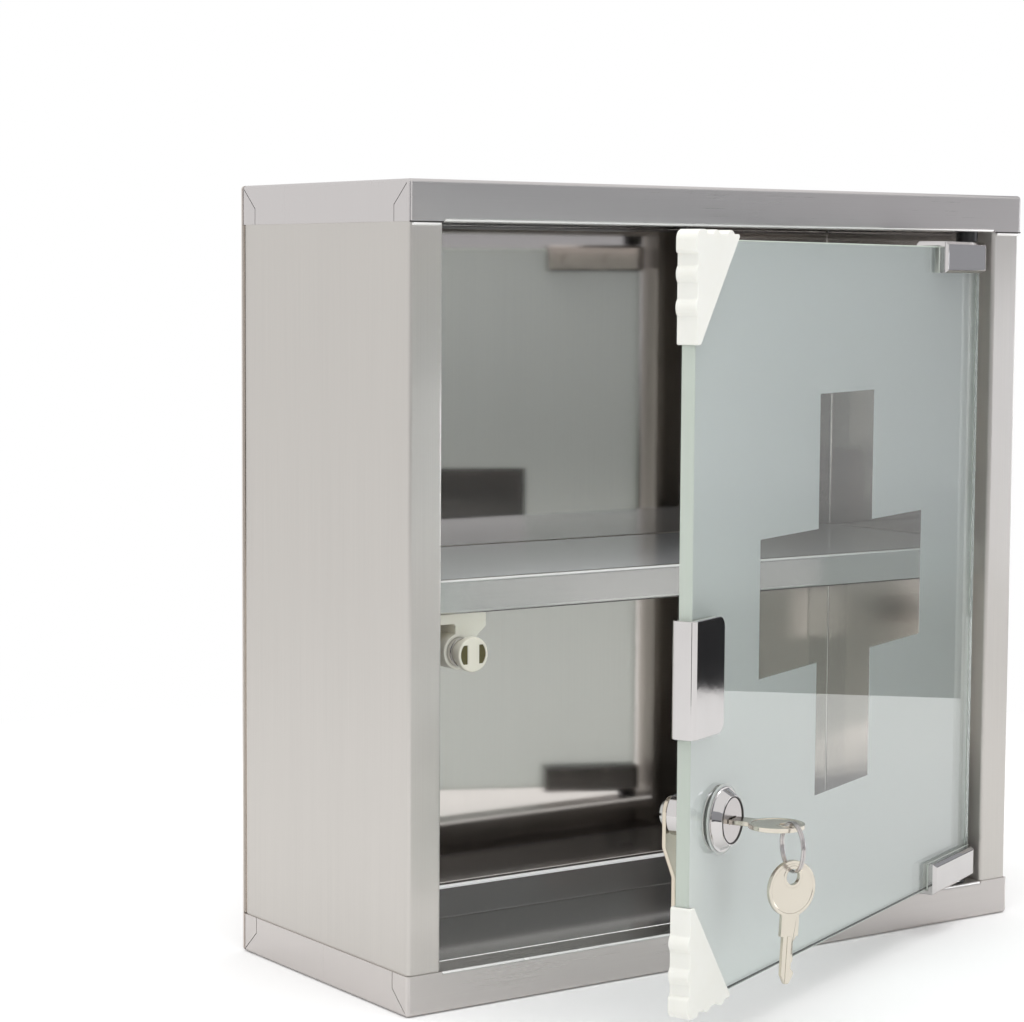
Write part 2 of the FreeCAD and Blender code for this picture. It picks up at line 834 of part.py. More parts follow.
def guard_knobs(start, run, outward):
    """Row of rounded knobs along one outer edge of a corner guard."""
    along = vec(*run).normalize()
    count = 1 + math.floor((run.Length - guard_knob_first - guard_knob_length) / guard_knob_pitch)
    knobs = []
    for index in range(count):
        middle = start + along * (guard_knob_first + index * guard_knob_pitch)
        near = middle - along * (guard_knob_length / 2)
        far = middle + along * (guard_knob_length / 2)
        crown = Part.Arc(near, middle + outward * guard_knob, far).toShape()
        face = Part.Face(Part.Wire([crown, Part.LineSegment(far, near).toShape()]))
        knobs.append(face.extrude(vec(0, 2 * guard_half_width, 0)))
    return knobs


def corner_guard():
    """Soft pocket over the lower free corner of the glass."""
    before = out(guard_half_width)
    side = free_edge - guard_wall
    foot = glass_low - guard_floor
    toe = free_edge + guard_along_top
    top = glass_low + guard_down_side
    corners = [
        vec(side, before, foot),
        vec(toe, before, foot),
        vec(free_edge + guard_round + guard_wall, before, top),
        vec(side, before, top),
    ]
    sweep = (0, 2 * guard_half_width, 0)
    body = prism(corners, [0, guard_round, guard_round, guard_round], sweep)
    far_side = side - guard_knob
    under = foot - guard_knob
    boss = [
        vec(far_side, before, under),
        vec(far_side + guard_corner, before, under),
        vec(far_side + guard_corner, before, under + guard_corner),
        vec(far_side, before, under + guard_corner),
    ]
    corner = prism(boss, [guard_corner_radius, guard_knob, 0, guard_knob], sweep)
    start = vec(side, before, foot)
    knobs = guard_knobs(start, vec(0, 0, top - foot), vec(-1, 0, 0))
    knobs += guard_knobs(start, vec(toe - side, 0, 0), vec(0, 0, -1))
    pocket_half = half_glass + guard_slot_gap
    pocket = block((free_edge - guard_slot_gap, out(pocket_half), glass_low - guard_slot_gap),
                   (toe + overrun, out(-pocket_half), top + overrun))
    return joined([body, corner] + knobs).cut(pocket)


def on_catch(radius, start, end):
    """Round bar on the catch's axis between two depths."""
    return rod(radius, (catch_x, start, catch_height), (catch_x, end, catch_height))


def pole_block(inner, outer, start, end):
    """Pair of blocks either side of the catch's axis."""
    half_high = pole_slot_height / 2
    blocks = []
    for side in (-1, 1):
        near, far = sorted((catch_x + side * inner, catch_x + side * outer))
        blocks.append(block((near, start, catch_height - half_high), (far, end, catch_height + half_high)))
    return blocks


def catch_plunger():
    """White plunger: round cap with two windows, and a stem that slides in the barrel."""
    cap_back = catch_face + plunger_cap_height
    cap = on_catch(plunger_cap_radius, catch_face, cap_back)
    front_edge = [edge for edge in cap.Edges if edge.BoundBox.YMax < catch_face + touch]
    cap = cap.makeFillet(plunger_edge, front_edge)
    stem_end = cap_back + plunger_length
    stem = on_catch(plunger_radius, catch_face + plunger_edge, stem_end)
    bore = on_catch(plunger_radius - plunger_wall, cap_back, stem_end + overrun)
    windows = [window.common(on_catch(pole_outer_radius(), catch_face - overrun, cap_back))
               for window in pole_block(pole_inner(), plunger_cap_radius, catch_face - overrun, cap_back)]
    return joined([cap, stem]).cut([bore] + windows)


def pole_inner():
    """Distance from the catch's axis to the near face of each pole plate."""
    return pole_slot_offset - pole_slot_width / 2


def pole_outer_radius():
    """Radius that the outer edge of both windows follows."""
    return pole_slot_offset + pole_slot_width / 2


def catch_core():
    """Round space in the stem that the magnet and the tails of the pole plates share."""
    cap_back = catch_face + plunger_cap_height
    return on_catch(magnet_radius, cap_back, cap_back + magnet_length)


def catch_pole_plates():
    """Two steel plates that lead the magnet's pull to the windows of the cap."""
    cap_back = catch_face + plunger_cap_height
    heads = [head.common(on_catch(pole_outer_radius() - pole_gap, catch_face, cap_back))
             for head in pole_block(pole_inner(), plunger_cap_radius, catch_face + pole_recess, cap_back)]
    tails = [tail.common(catch_core())
             for tail in pole_block(pole_inner(), plunger_cap_radius, cap_back, cap_back + magnet_length)]
    return Part.makeCompound([joined([head, tail]) for head, tail in zip(heads, tails)])


def catch_magnet():
    """Magnet between the tails of the pole plates."""
    cap_back = catch_face + plunger_cap_height
    middle = block((catch_x - pole_inner(), cap_back, catch_height - magnet_radius),
                   (catch_x + pole_inner(), cap_back + magnet_length, catch_height + magnet_radius))
    return catch_core().common(middle)


def catch_barrel():
    """Plated tube, closed behind, that guides the plunger."""
    end = catch_mouth + catch_barrel_length
    tube = on_catch(catch_barrel_radius, catch_mouth, end)
    return tube.cut(on_catch(plunger_radius + plunger_running_gap, catch_mouth - overrun, end - catch_barrel_end))


def coil_arcs(radius, pitch, turns):
    """Smooth chain of arcs that climbs round the Z axis, two tangent arcs to each quarter turn."""
    steps = 4 * turns
    points = []
    headings = []
    for index in range(steps + 1):
        angle = math.pi / 2 * index
        points.append(vec(radius * math.cos(angle), radius * math.sin(angle), pitch * index / 4))
        around = radius * 2 * math.pi
        headings.append(vec(-around * math.sin(angle), around * math.cos(angle), pitch).normalize())
    edges = []
    for index in range(steps):
        run = points[index + 1] - points[index]
        total = headings[index] + headings[index + 1]
        spread = 4 - total.dot(total)
        along = run.dot(total)
        arm = (math.sqrt(along ** 2 + spread * run.dot(run)) - along) / spread
        first = points[index] + headings[index] * arm
        second = points[index + 1] - headings[index + 1] * arm
        meet = (first + second) / 2
        edges.append(corner_arc(points[index], first, meet))
        edges.append(corner_arc(meet, second, points[index + 1]))
    return Part.Wire(edges)


def corner_arc(start, corner, end):
    """Arc that leaves its start and reaches its end along the two lines through a corner."""
    middle = (start + end) / 2
    half = (end - start).Length / 2
    rise = (corner - middle).Length
    sag = half * math.tan(math.atan2(rise, half) / 2)
    return Part.Arc(start, middle + (corner - middle) * (sag / rise), end).toShape()


def catch_spring():
    """Coil spring between the plunger's stem and the closed end of the barrel."""
    start = catch_face + plunger_cap_height + plunger_length + spring_wire + spring_gap
    end = catch_mouth + catch_barrel_length - catch_barrel_end - spring_wire - spring_gap
    radius = plunger_radius + plunger_running_gap - spring_gap - spring_wire
    pitch = (end - start) / spring_turns
    heading = vec(0, 2 * math.pi * radius, pitch)
    profile = Part.Wire(Part.makeCircle(spring_wire, vec(radius, 0, 0), heading))
    coil = coil_arcs(radius, pitch, spring_turns).makePipeShell([profile], True, False)
    upright = FreeCAD.Rotation(vec(0, 0, 1), vec(0, 1, 0))
    coil.Placement = FreeCAD.Placement(vec(catch_x, start, catch_height), upright)
    return coil


def bracket_screw_spots():
    """Places of the two screws that hold the catch under the shelf."""
    x = catch_x - bracket_outboard + bracket_screw_offset
    near = catch_mouth + bracket_mouth
    return [(x, near + place) for place in bracket_screw_places]


def catch_bracket():
    """White bracket: flange under the shelf, bevelled neck and a ring round the barrel."""
    near = catch_mouth + bracket_mouth
    far = near + bracket_length
    ring_radius_outside = catch_barrel_radius + bracket_ring_wall
    under = shelf_low - bracket_flange
    places = [
        (-bracket_outboard, shelf_low),
        (bracket_inboard, shelf_low),
        (bracket_inboard, shelf_low - bracket_shoulder),
        (bracket_neck_inboard, catch_height + catch_barrel_radius),
        (ring_radius_outside, catch_height),
        (-bracket_neck_outboard, catch_height),
        (-bracket_neck_outboard, under),
        (-bracket_outboard, under),
    ]
    radii = [0, 0, bracket_corner, bracket_corner, 0, 0, bracket_corner, bracket_corner]
    body = prism([vec(catch_x + x, near, z) for x, z in places], radii, (0, bracket_length, 0))
    body = joined([body, on_catch(ring_radius_outside, near, far)])
    cuts = [on_catch(catch_barrel_radius, near - overrun, far + overrun)]
    for x, y in bracket_screw_spots():
        cuts.append(rod(bracket_screw_radius, (x, y, under - overrun), (x, y, shelf_low + overrun)))
    return body.cut(cuts)


def bracket_screws():
    """Two slotted brass screws up through the flange into the shelf."""
    under = shelf_low - bracket_flange
    bottom = under - bracket_screw_head_height
    screws = []
    for x, y in bracket_screw_spots():
        shank = rod(bracket_screw_radius, (x, y, bottom), (x, y, under + bracket_screw_length))
        head = rod(bracket_screw_head, (x, y, bottom), (x, y, under))
        slot = block((x - driver_slot / 2, y - bracket_screw_head, bottom - overrun),
                     (x + driver_slot / 2, y + bracket_screw_head, bottom + driver_depth))
        screws.append(joined([shank, head]).cut(slot))
    return Part.makeCompound(screws)


def swung(shape):
    """Door piece turned from closed to the rest angle."""
    return shape.rotate(vec(pivot_x, pivot_y, 0), vec(0, 0, 1), rest_angle)


def case_pieces():
    """Every piece that stays with the case."""
    return {
        "base": base(),
        "cap": cap(),
        "left_side_panel": left_side_panel(),
        "right_side_panel": right_side_panel(),
        "back_panel": back_panel(),
        "shelf": shelf(),
        "pivot_bush_bottom": pivot_bush(glass_foot_gap),
        "pivot_bush_top": lifted(pivot_bush(glass_top_gap), middle_height),
        "catch_bracket": catch_bracket(),
        "bracket_screws": bracket_screws(),
        "catch_barrel": catch_barrel(),
        "catch_spring": catch_spring(),
        "catch_plunger": catch_plunger(),
        "catch_magnet": catch_magnet(),
        "catch_pole_plates": catch_pole_plates(),
    }


def door_pieces():
    """Every piece that swings with the door, drawn closed."""
    pieces = {
        "door_glass": door_glass(),
        "handle_clip": handle_clip(),
        "handle_liner": handle_liner(),
        "lock_body": lock_body(),
        "lock_gasket": lock_gasket(),
        "lock_washer": lock_washer(),
        "lock_nut": lock_nut(),
        "lock_plug": lock_plug(),
        "lock_wafers": lock_wafers(),
        "lock_cam": lock_cam(),
        "cam_screw": cam_screw(),
        "key": key(),
        "key_ring": key_ring(),
        "key_spare": key_spare(),
    }
    paired = {
        "hinge_clip": hinge_clip(),
        "clip_pads": clip_pads(),
        "clamp_plate": clamp_plate(),
        "clip_screws": clip_screws(),
        "pivot_pin": pivot_pin(),
        "corner_guard": corner_guard(),
    }
    for name, shape in paired.items():
        pieces[name + "_bottom"] = shape
        pieces[name + "_top"] = lifted(shape, glass_centre)
    return pieces


def main():
    """Write one file for each piece, the door at its rest angle."""
    os.makedirs("parts", exist_ok=True)
    pieces = case_pieces()
    for name, shape in door_pieces().items():
        pieces[name] = swung(shape)
    for name, shape in pieces.items():
        shape.exportStep("parts/" + name + ".step")


main()
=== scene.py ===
"""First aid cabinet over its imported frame: brushed steel case, frosted glass door, lock and keys.

Lengths are metres in the frame's axes: the front faces -Y, +Z is up, the origin is under the case.
Pieces of the door are worked out with the door closed and then turned about the hinge axis.
"""
import logging
import math
from dataclasses import dataclass
from enum import Enum
from typing import Sequence

import bpy
import numpy as np
from mathutils import Matrix, Vector
from mathutils.geometry import delaunay_2d_cdt


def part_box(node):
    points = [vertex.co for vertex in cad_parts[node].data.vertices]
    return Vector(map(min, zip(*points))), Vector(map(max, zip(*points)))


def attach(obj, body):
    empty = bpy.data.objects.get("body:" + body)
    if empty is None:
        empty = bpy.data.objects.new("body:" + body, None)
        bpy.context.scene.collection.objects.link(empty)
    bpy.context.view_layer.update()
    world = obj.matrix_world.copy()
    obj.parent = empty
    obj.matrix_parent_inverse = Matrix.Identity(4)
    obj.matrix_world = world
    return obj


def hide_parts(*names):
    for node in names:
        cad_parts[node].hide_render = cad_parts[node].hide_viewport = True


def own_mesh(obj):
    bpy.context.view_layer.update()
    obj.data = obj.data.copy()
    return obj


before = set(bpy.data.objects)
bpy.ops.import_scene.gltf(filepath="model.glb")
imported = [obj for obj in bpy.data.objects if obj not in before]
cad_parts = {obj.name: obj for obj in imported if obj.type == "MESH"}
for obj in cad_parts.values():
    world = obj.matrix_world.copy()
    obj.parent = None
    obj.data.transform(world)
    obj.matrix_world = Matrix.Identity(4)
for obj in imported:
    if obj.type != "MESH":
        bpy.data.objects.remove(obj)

log = logging.getLogger("cabinet")
MM = 0.001
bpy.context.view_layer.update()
HINGE = np.array([0.1255, -0.0535, 0.0])
REST_ANGLE = math.radians(24.7)
GLASS_MIDDLE = -0.0555
GLASS_FREE = -0.1303
GLASS_HINGED = 0.129
GLASS_LOW = 0.020
GLASS_HIGH = 0.2787
HALF_GLASS = 0.0025
GLASS_FRONT = GLASS_MIDDLE - HALF_GLASS
GLASS_BACK = GLASS_MIDDLE + HALF_GLASS
MIDDLE_HEIGHT = 0.150
LOCK_X = -0.1055
LOCK_Z = 0.0812

BAR_SIDES = 12
CIRCLE_SIDES = 64
WIRE_SIDES = 10
RING_STEPS = 72
COIL_STEPS = 40
DOME_ANGLES = (4.0, 30.0, 60.0, 90.0)
OBLIQUE = (0.31, 0.62, 0.72)
CUT_TOLERANCE = 1e-9
LEAST_RISE = 1e-12
WELD_DISTANCE = 2e-6
SMOOTH_ANGLE = math.radians(28)
FLAT_ANGLE = math.radians(0.5)
EDGE_ANGLE = math.radians(35)
END_FACE = 0.7
INNER_REACH = 0.1488
INNER_DEPTHS = (-0.0432, 0.0595)
INNER_HEIGHTS = (0.0004, 0.2996)
BAND_ALONG = 3.0
BAND_ACROSS = 90.0
SMOOTHEST = 0.02
PLAIN_WHITE = (1.0, 1.0, 1.0, 1.0)

Given = float | Sequence[float] | bpy.types.NodeSocket


# -------------------- shapes


def round_steps(count: int) -> np.ndarray:
    """Angles of that many places spaced evenly round a circle."""
    return np.arange(count) * (2 * math.pi / count)


def turned_with_door(points: np.ndarray) -> np.ndarray:
    """Turns points drawn with the door closed to the rest angle.

    Args:
        points: rows of x, y, z in metres.

    Returns:
        The rows turned about the upright hinge axis.
    """
    cosine, sine = math.cos(REST_ANGLE), math.sin(REST_ANGLE)
    turn = np.array([[cosine, sine, 0.0], [-sine, cosine, 0.0], [0.0, 0.0, 1.0]])
    return (points - HINGE) @ turn + HINGE


def mesh_object(
    name: str, points: np.ndarray, faces: Sequence[Sequence[int]], smooth: bool = True
) -> bpy.types.Object:
    """Makes one object at the origin from points and faces.

    Args:
        name: piece name.
        points: rows of x, y, z in metres.
        faces: corner numbers of each face, outward by the right hand.
        smooth: whether faces are shaded smooth.

    Returns:
        The object, linked to the scene.
    """
    mesh = bpy.data.meshes.new(name)
    mesh.from_pydata(points.tolist(), [], [list(map(int, face)) for face in faces])
    mesh.polygons.foreach_set("use_smooth", np.full(len(mesh.polygons), smooth))
    mesh.validate()
    mesh.update()
    obj = bpy.data.objects.new(name, mesh)
    bpy.context.scene.collection.objects.link(obj)
    return obj


def grid_faces(rows: int, columns: int, wrap_rows: bool, wrap_columns: bool) -> np.ndarray:
    """Numbers the four-sided faces of a grid of points stored row by row.

    Args:
        rows: points down the grid.
        columns: points across it.
        wrap_rows: whether the last row joins the first.
        wrap_columns: whether the last column joins the first.

    Returns:
        One row of four corner numbers for each face.
    """
    row = np.arange(rows if wrap_rows else rows - 1)
    column = np.arange(columns if wrap_columns else columns - 1)
    down, across = np.meshgrid(row, column, indexing="ij")
    below, beside = (down + 1) % rows, (across + 1) % columns
    here, under = down * columns, below * columns
    return np.stack([here + across, here + beside, under + beside, under + across], axis=-1).reshape(-1, 4)


def slab(
    name: str, outline: np.ndarray, holes: Sequence[np.ndarray], low: float, high: float
) -> bpy.types.Object:
    """Plate with holes, standing in the door's closed plane, its faces at two depths.

    Args:
        name: piece name.
        outline: rows of x, z round the plate.
        holes: outlines of the holes, rows of x, z.
        low: depth of the front face.
        high: depth of the back face.

    Returns:
        The closed plate, turned to the rest angle.
    """
    loops = [outline, *holes]
    flat = np.vstack(loops)
    edges, start = [], 0
    for loop in loops:
        numbers = np.arange(len(loop))
        edges += [(int(a), int(b)) for a, b in zip(numbers + start, np.roll(numbers, -1) + start)]
        start += len(loop)
    made = delaunay_2d_cdt([Vector(p) for p in flat], edges, [], 0, CUT_TOLERANCE)
    points, faces = np.array([tuple(p) for p in made[0]]), np.array(made[2])
    middles = points[faces].mean(axis=1)
    keep = inside(middles, outline)
    for hole in holes:
        keep &= ~inside(middles, hole)
    faces = faces[keep]
    area = np.cross(points[faces[:, 1]] - points[faces[:, 0]], points[faces[:, 2]] - points[faces[:, 0]])
    faces[area < 0] = faces[area < 0][:, ::-1]
    count = len(points)
    front = np.column_stack([points[:, 0], np.full(count, low), points[:, 1]])
    back = np.column_stack([points[:, 0], np.full(count, high), points[:, 1]])
    sides = rim_of(faces)
    walls = np.column_stack([sides[:, 1], sides[:, 0], sides[:, 0] + count, sides[:, 1] + count])
    all_faces = faces.tolist() + (faces[:, ::-1] + count).tolist() + walls.tolist()
    return mesh_object(name, turned_with_door(np.vstack([front, back])), all_faces, False)


def closed_tube(name: str, rings: np.ndarray) -> bpy.types.Object:
    """Tube skinned over a run of rings and closed at both ends.

    Args:
        name: piece name.
        rings: points by ring, place round the ring and axis; each ring turns by the right hand about the run.

    Returns:
        The closed tube.
    """
    count, sides = rings.shape[:2]
    faces = grid_faces(count, sides, False, True)[:, ::-1].tolist()
    last = (count - 1) * sides
    faces += [list(range(sides))[::-1], list(range(last, last + sides))]
    return mesh_object(name, rings.reshape(-1, 3), faces)


def coil_spring(name: str, low: np.ndarray, high: np.ndarray, turns: float, wire: float) -> bpy.types.Object:
    """Round wire wound in a helix about a line along Y that fills a box.

    A point is the helix's centre line plus the wire's radius times the outward spoke's cosine and the
    cross direction's sine.

    Args:
        name: piece name.
        low: lowest corner of the box.
        high: highest corner of the box.
        turns: number of turns.
        wire: wire radius.

    Returns:
        The closed coil.
    """
    middle = (low + high) / 2
    radius = (high[0] - low[0]) / 2 - wire
    share = np.linspace(0.0, 1.0, int(turns * COIL_STEPS) + 1)
    angle = 2 * math.pi * turns * share
    rise = high[1] - low[1] - 2 * wire
    spoke = np.column_stack([np.cos(angle), 0 * angle, np.sin(angle)])
    line = radius * spoke + np.column_stack([0 * angle, low[1] + wire + rise * share, 0 * angle])
    line += (middle[0], 0.0, middle[2])
    slope = rise / (2 * math.pi * turns * radius)
    ahead = np.column_stack([-np.sin(angle), np.full(len(angle), slope), np.cos(angle)])
    ahead /= np.linalg.norm(ahead, axis=1)[:, None]
    cross = np.cross(ahead, spoke)
    around = round_steps(BAR_SIDES)[None, :, None]
    rings = line[:, None] + wire * (np.cos(around) * spoke[:, None] + np.sin(around) * cross[:, None])
    return closed_tube(name, rings)


def round_bar(name: str, ends: np.ndarray, radius: float) -> bpy.types.Object:
    """Straight round bar with domed ends.

    Each ring stands across the run; its radius follows a quarter circle at both ends.

    Args:
        name: piece name.
        ends: two rows of x, y, z.
        radius: bar radius.

    Returns:
        The closed bar.
    """
    run = ends[1] - ends[0]
    length = float(np.linalg.norm(run))
    ahead = run / length
    first = np.cross(ahead, OBLIQUE)
    first /= np.linalg.norm(first)
    second = np.cross(ahead, first)
    turn = np.radians(DOME_ANGLES)
    places = np.concatenate([radius * (1 - np.cos(turn)), length - radius * (1 - np.cos(turn[::-1]))])
    sizes = np.concatenate([radius * np.sin(turn), radius * np.sin(turn[::-1])])
    angle = round_steps(BAR_SIDES)
    ring = np.cos(angle)[:, None] * first + np.sin(angle)[:, None] * second
    return closed_tube(name, ends[0] + places[:, None, None] * ahead + sizes[:, None, None] * ring[None])


def ring_tube(name: str, centre: np.ndarray, radius: float, wire: float) -> bpy.types.Object:
    """Round wire bent to a ring that stands in the door's closed plane, turned to the rest angle.

    A point is the centre plus the ring's radius and the wire's cosine along the spoke, and the wire's sine in
    depth.

    Args:
        name: piece name.
        centre: x, y, z of the ring's centre.
        radius: ring radius.
        wire: wire radius.

    Returns:
        The closed ring.
    """
    round_ring, round_wire = round_steps(RING_STEPS)[:, None], round_steps(WIRE_SIDES)[None, :]
    spoke = radius + wire * np.cos(round_wire)
    depth = wire * np.sin(round_wire) + 0 * round_ring
    points = np.stack([spoke * np.cos(round_ring), depth, spoke * np.sin(round_ring)], axis=-1)
    faces = grid_faces(RING_STEPS, WIRE_SIDES, True, True)
    return mesh_object(name, turned_with_door(points.reshape(-1, 3) + centre), faces)


def inside(points: np.ndarray, loop: np.ndarray) -> np.ndarray:
    """Tells which points lie inside a loop, by how often a level ray from each crosses it.

    Args:
        points: rows of x, z.
        loop: rows of x, z round the loop.

    Returns:
        True for each point inside.
    """
    ahead = np.roll(loop, -1, axis=0)
    z = points[:, None, 1]
    spans = (loop[None, :, 1] > z) != (ahead[None, :, 1] > z)
    rise = np.where(ahead[:, 1] == loop[:, 1], LEAST_RISE, ahead[:, 1] - loop[:, 1])
    cross = loop[:, 0] + (z - loop[:, 1]) * (ahead[:, 0] - loop[:, 0]) / rise
    return (spans & (points[:, None, 0] < cross)).sum(axis=1) % 2 == 1


def rim_of(faces: np.ndarray) -> np.ndarray:
    """Finds the edges that only one triangle has, in that triangle's direction.

    Args:
        faces: rows of three corner numbers.

    Returns:
        Rows of two corner numbers.
    """
    edges = np.vstack([faces[:, [0, 1]], faces[:, [1, 2]], faces[:, [2, 0]]])
    keys = np.sort(edges, axis=1)
    _, place, times = np.unique(keys, axis=0, return_inverse=True, return_counts=True)
    return edges[times[place.ravel()] == 1]


def circle(x: float, z: float, radius: float) -> np.ndarray:
    """Rows of x, z round a circle."""
    angle = round_steps(CIRCLE_SIDES)
    return np.column_stack([x + radius * np.cos(angle), z + radius * np.sin(angle)])


def smoothing_group() -> bpy.types.GeometryNodeTree:
    """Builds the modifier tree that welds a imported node's loose triangles and shades its curves smooth.

    Returns:
        The geometry node tree.
    """
    tree = bpy.data.node_groups.new("weld_and_smooth", "GeometryNodeTree")
    tree.interface.new_socket("Geometry", in_out="INPUT", socket_type="NodeSocketGeometry")
    tree.interface.new_socket("Geometry", in_out="OUTPUT", socket_type="NodeSocketGeometry")
    start = tree.nodes.new("NodeGroupInput")
    weld = tree.nodes.new("GeometryNodeMergeByDistance")
    weld.inputs["Distance"].default_value = WELD_DISTANCE
    faces = tree.nodes.new("GeometryNodeSetShadeSmooth")
    angle = tree.nodes.new("GeometryNodeInputMeshEdgeAngle")
    sharp = tree.nodes.new("FunctionNodeCompare")
    sharp.data_type = "FLOAT"
    sharp.operation = "GREATER_THAN"
    sharp.inputs["B"].default_value = SMOOTH_ANGLE
    edges = tree.nodes.new("GeometryNodeSetShadeSmooth")
    edges.domain = "EDGE"
    edges.inputs["Shade Smooth"].default_value = False
    end = tree.nodes.new("NodeGroupOutput")
    tree.links.new(start.outputs[0], weld.inputs["Geometry"])
    tree.links.new(weld.outputs["Geometry"], faces.inputs["Geometry"])
    tree.links.new(faces.outputs["Geometry"], edges.inputs["Geometry"])
    tree.links.new(angle.outputs["Unsigned Angle"], sharp.inputs["A"])
    tree.links.new(sharp.outputs["Result"], edges.inputs["Selection"])
    tree.links.new(edges.outputs["Geometry"], end.inputs[0])
    return tree


# -------------------- shader groups


class Tree:
    """Short way to add shader nodes and join them."""

    def __init__(self, tree: bpy.types.NodeTree) -> None:
        """Keeps the tree that the nodes go in."""
        self.tree = tree

    def add(self, kind: str, inputs: dict | None = None, **settings) -> bpy.types.Node:
        """Adds a node.

        Args:
            kind: node type name without its ShaderNode prefix.
            inputs: socket name or number to a value, or to an output socket to join.
            settings: properties of the node.

        Returns:
            The node.
        """
        node = self.tree.nodes.new("ShaderNode" + kind)
        for name, value in settings.items():
            setattr(node, name, value)
        for name, value in (inputs or {}).items():
            self.give(node.inputs[name], value)
        return node

    def give(self, socket: bpy.types.NodeSocket, value: Given) -> None:
        """Sets an input socket to a value, or joins an output socket to it."""
        if isinstance(value, bpy.types.NodeSocket):
            self.tree.links.new(value, socket)
        else:
            socket.default_value = value

    def math(self, operation: str, a: Given, b: Given = 0.0) -> bpy.types.NodeSocket:
        """Output of a Math node over two numbers or sockets."""
        return self.add("Math", {0: a, 1: b}, operation=operation).outputs[0]

    def spread(self, value: Given, low: float, high: float) -> bpy.types.NodeSocket:
        """Output of a Map Range node from 0..1 to two limits."""
        return self.add("MapRange", {"Value": value, "To Min": low, "To Max": high}).outputs[0]

    def blend(self, share: Given, a: Given, b: Given) -> bpy.types.NodeSocket:
        """Output of a colour Mix node between two colours or sockets."""
        return self.add("Mix", {0: share, 6: a, 7: b}, data_type="RGBA").outputs[2]


def new_group(
    name: str, takes: Sequence[tuple[str, str, float]], gives: Sequence[str]
) -> tuple[Tree, dict, bpy.types.Node]:
    """Starts a shader node group.

    Args:
        name: group name.
        takes: name, socket type and default of each input; vectors have no default.
        gives: names of the value outputs.

    Returns:
        The tree, its input sockets by name, and its output node.
    """
    group = bpy.data.node_groups.new(name, "ShaderNodeTree")
    for title, kind, default in takes:
        socket = group.interface.new_socket(title, in_out="INPUT", socket_type="NodeSocket" + kind)
        if kind == "Float":
            socket.default_value = default
    for title in gives:
        group.interface.new_socket(title, in_out="OUTPUT", socket_type="NodeSocketFloat")
    start = group.nodes.new("NodeGroupInput")
    end = group.nodes.new("NodeGroupOutput")
    return Tree(group), {socket.name: socket for socket in start.outputs}, end


def grain_group() -> bpy.types.ShaderNodeTree:
    """Brushing of sheet steel: long fine streaks, broad bands of tone, and cloudy handling marks.

    Returns:
        A group that takes the place, the face's normal and the streaks' scales, and gives three masks.
    """
    tree, take, end = new_group(
        "brushed_grain",
        [("Vector", "Vector", 0), ("Normal", "Vector", 0), ("Along", "Float", 20), ("Across", "Float", 2600)],
        ["Streak", "Band", "Cloud"],
    )
    place = tree.add("SeparateXYZ", {0: take["Vector"]})
    facing = tree.add("SeparateXYZ", {0: take["Normal"]})
    end_face = tree.math("GREATER_THAN", tree.math("ABSOLUTE", facing.outputs[0]), END_FACE)
    run = tree.add("Mix", {0: end_face, 2: place.outputs[0], 3: place.outputs[2]}).outputs[0]
    rise = tree.add("Mix", {0: end_face, 2: place.outputs[2], 3: place.outputs[0]}).outputs[0]
    for mask, along, across, detail in (
        ("Streak", take["Along"], take["Across"], 3.0),
        ("Band", BAND_ALONG, BAND_ACROSS, 4.0),
    ):
        spot = tree.add("CombineXYZ", {
            0: tree.math("MULTIPLY", run, along),
            1: tree.math("MULTIPLY", place.outputs[1], across),
            2: tree.math("MULTIPLY", rise, across),
        }).outputs[0]
        noise = tree.add("TexNoise", {"Vector": spot, "Scale": 1.0, "Detail": detail, "Roughness": 0.6})
        tree.give(end.inputs[mask], noise.outputs[0])
    cloud = tree.add("TexNoise", {"Vector": take["Vector"], "Scale": 14.0, "Detail": 5.0, "Roughness": 0.55})
    tree.give(end.inputs["Cloud"], cloud.outputs[0])
    return tree.tree


def inner_side_group() -> bpy.types.ShaderNodeTree:
    """Tells the bright inner side of the case's sheets from the brushed side that shows outside.

    A place is on the inner side where it is clear of the case's outer faces and behind its front rims.

    Returns:
        A group that takes the place and gives the mask.
    """
    tree, take, end = new_group("inner_side", [("Vector", "Vector", 0)], ["Inner"])
    place = tree.add("SeparateXYZ", {0: take["Vector"]})
    mask = tree.math("LESS_THAN", tree.math("ABSOLUTE", place.outputs[0]), INNER_REACH)
    for axis, (low, high) in ((1, INNER_DEPTHS), (2, INNER_HEIGHTS)):
        above = tree.math("GREATER_THAN", place.outputs[axis], low)
        below = tree.math("LESS_THAN", place.outputs[axis], high)
        mask = tree.math("MULTIPLY", tree.math("MULTIPLY", mask, above), below)
    tree.give(end.inputs["Inner"], mask)
    return tree.tree


def cast_group() -> bpy.types.ShaderNodeTree:
    """Surface of a small moulded or plated part: fine orange-peel ripple and cloudy marks.

    Returns:
        A group that takes the place and the ripple's scale, and gives two masks.
    """
    tree, take, end = new_group(
        "cast_surface", [("Vector", "Vector", 0), ("Scale", "Float", 500)], ["Ripple", "Cloud"]
    )
    ripple = tree.add("TexNoise", {"Vector": take["Vector"], "Scale": take["Scale"], "Detail": 2.0})
    cloud = tree.add("TexNoise", {"Vector": take["Vector"], "Scale": 90.0, "Detail": 4.0, "Roughness": 0.6})
    tree.give(end.inputs["Ripple"], ripple.outputs[0])
    tree.give(end.inputs["Cloud"], cloud.outputs[0])
    return tree.tree


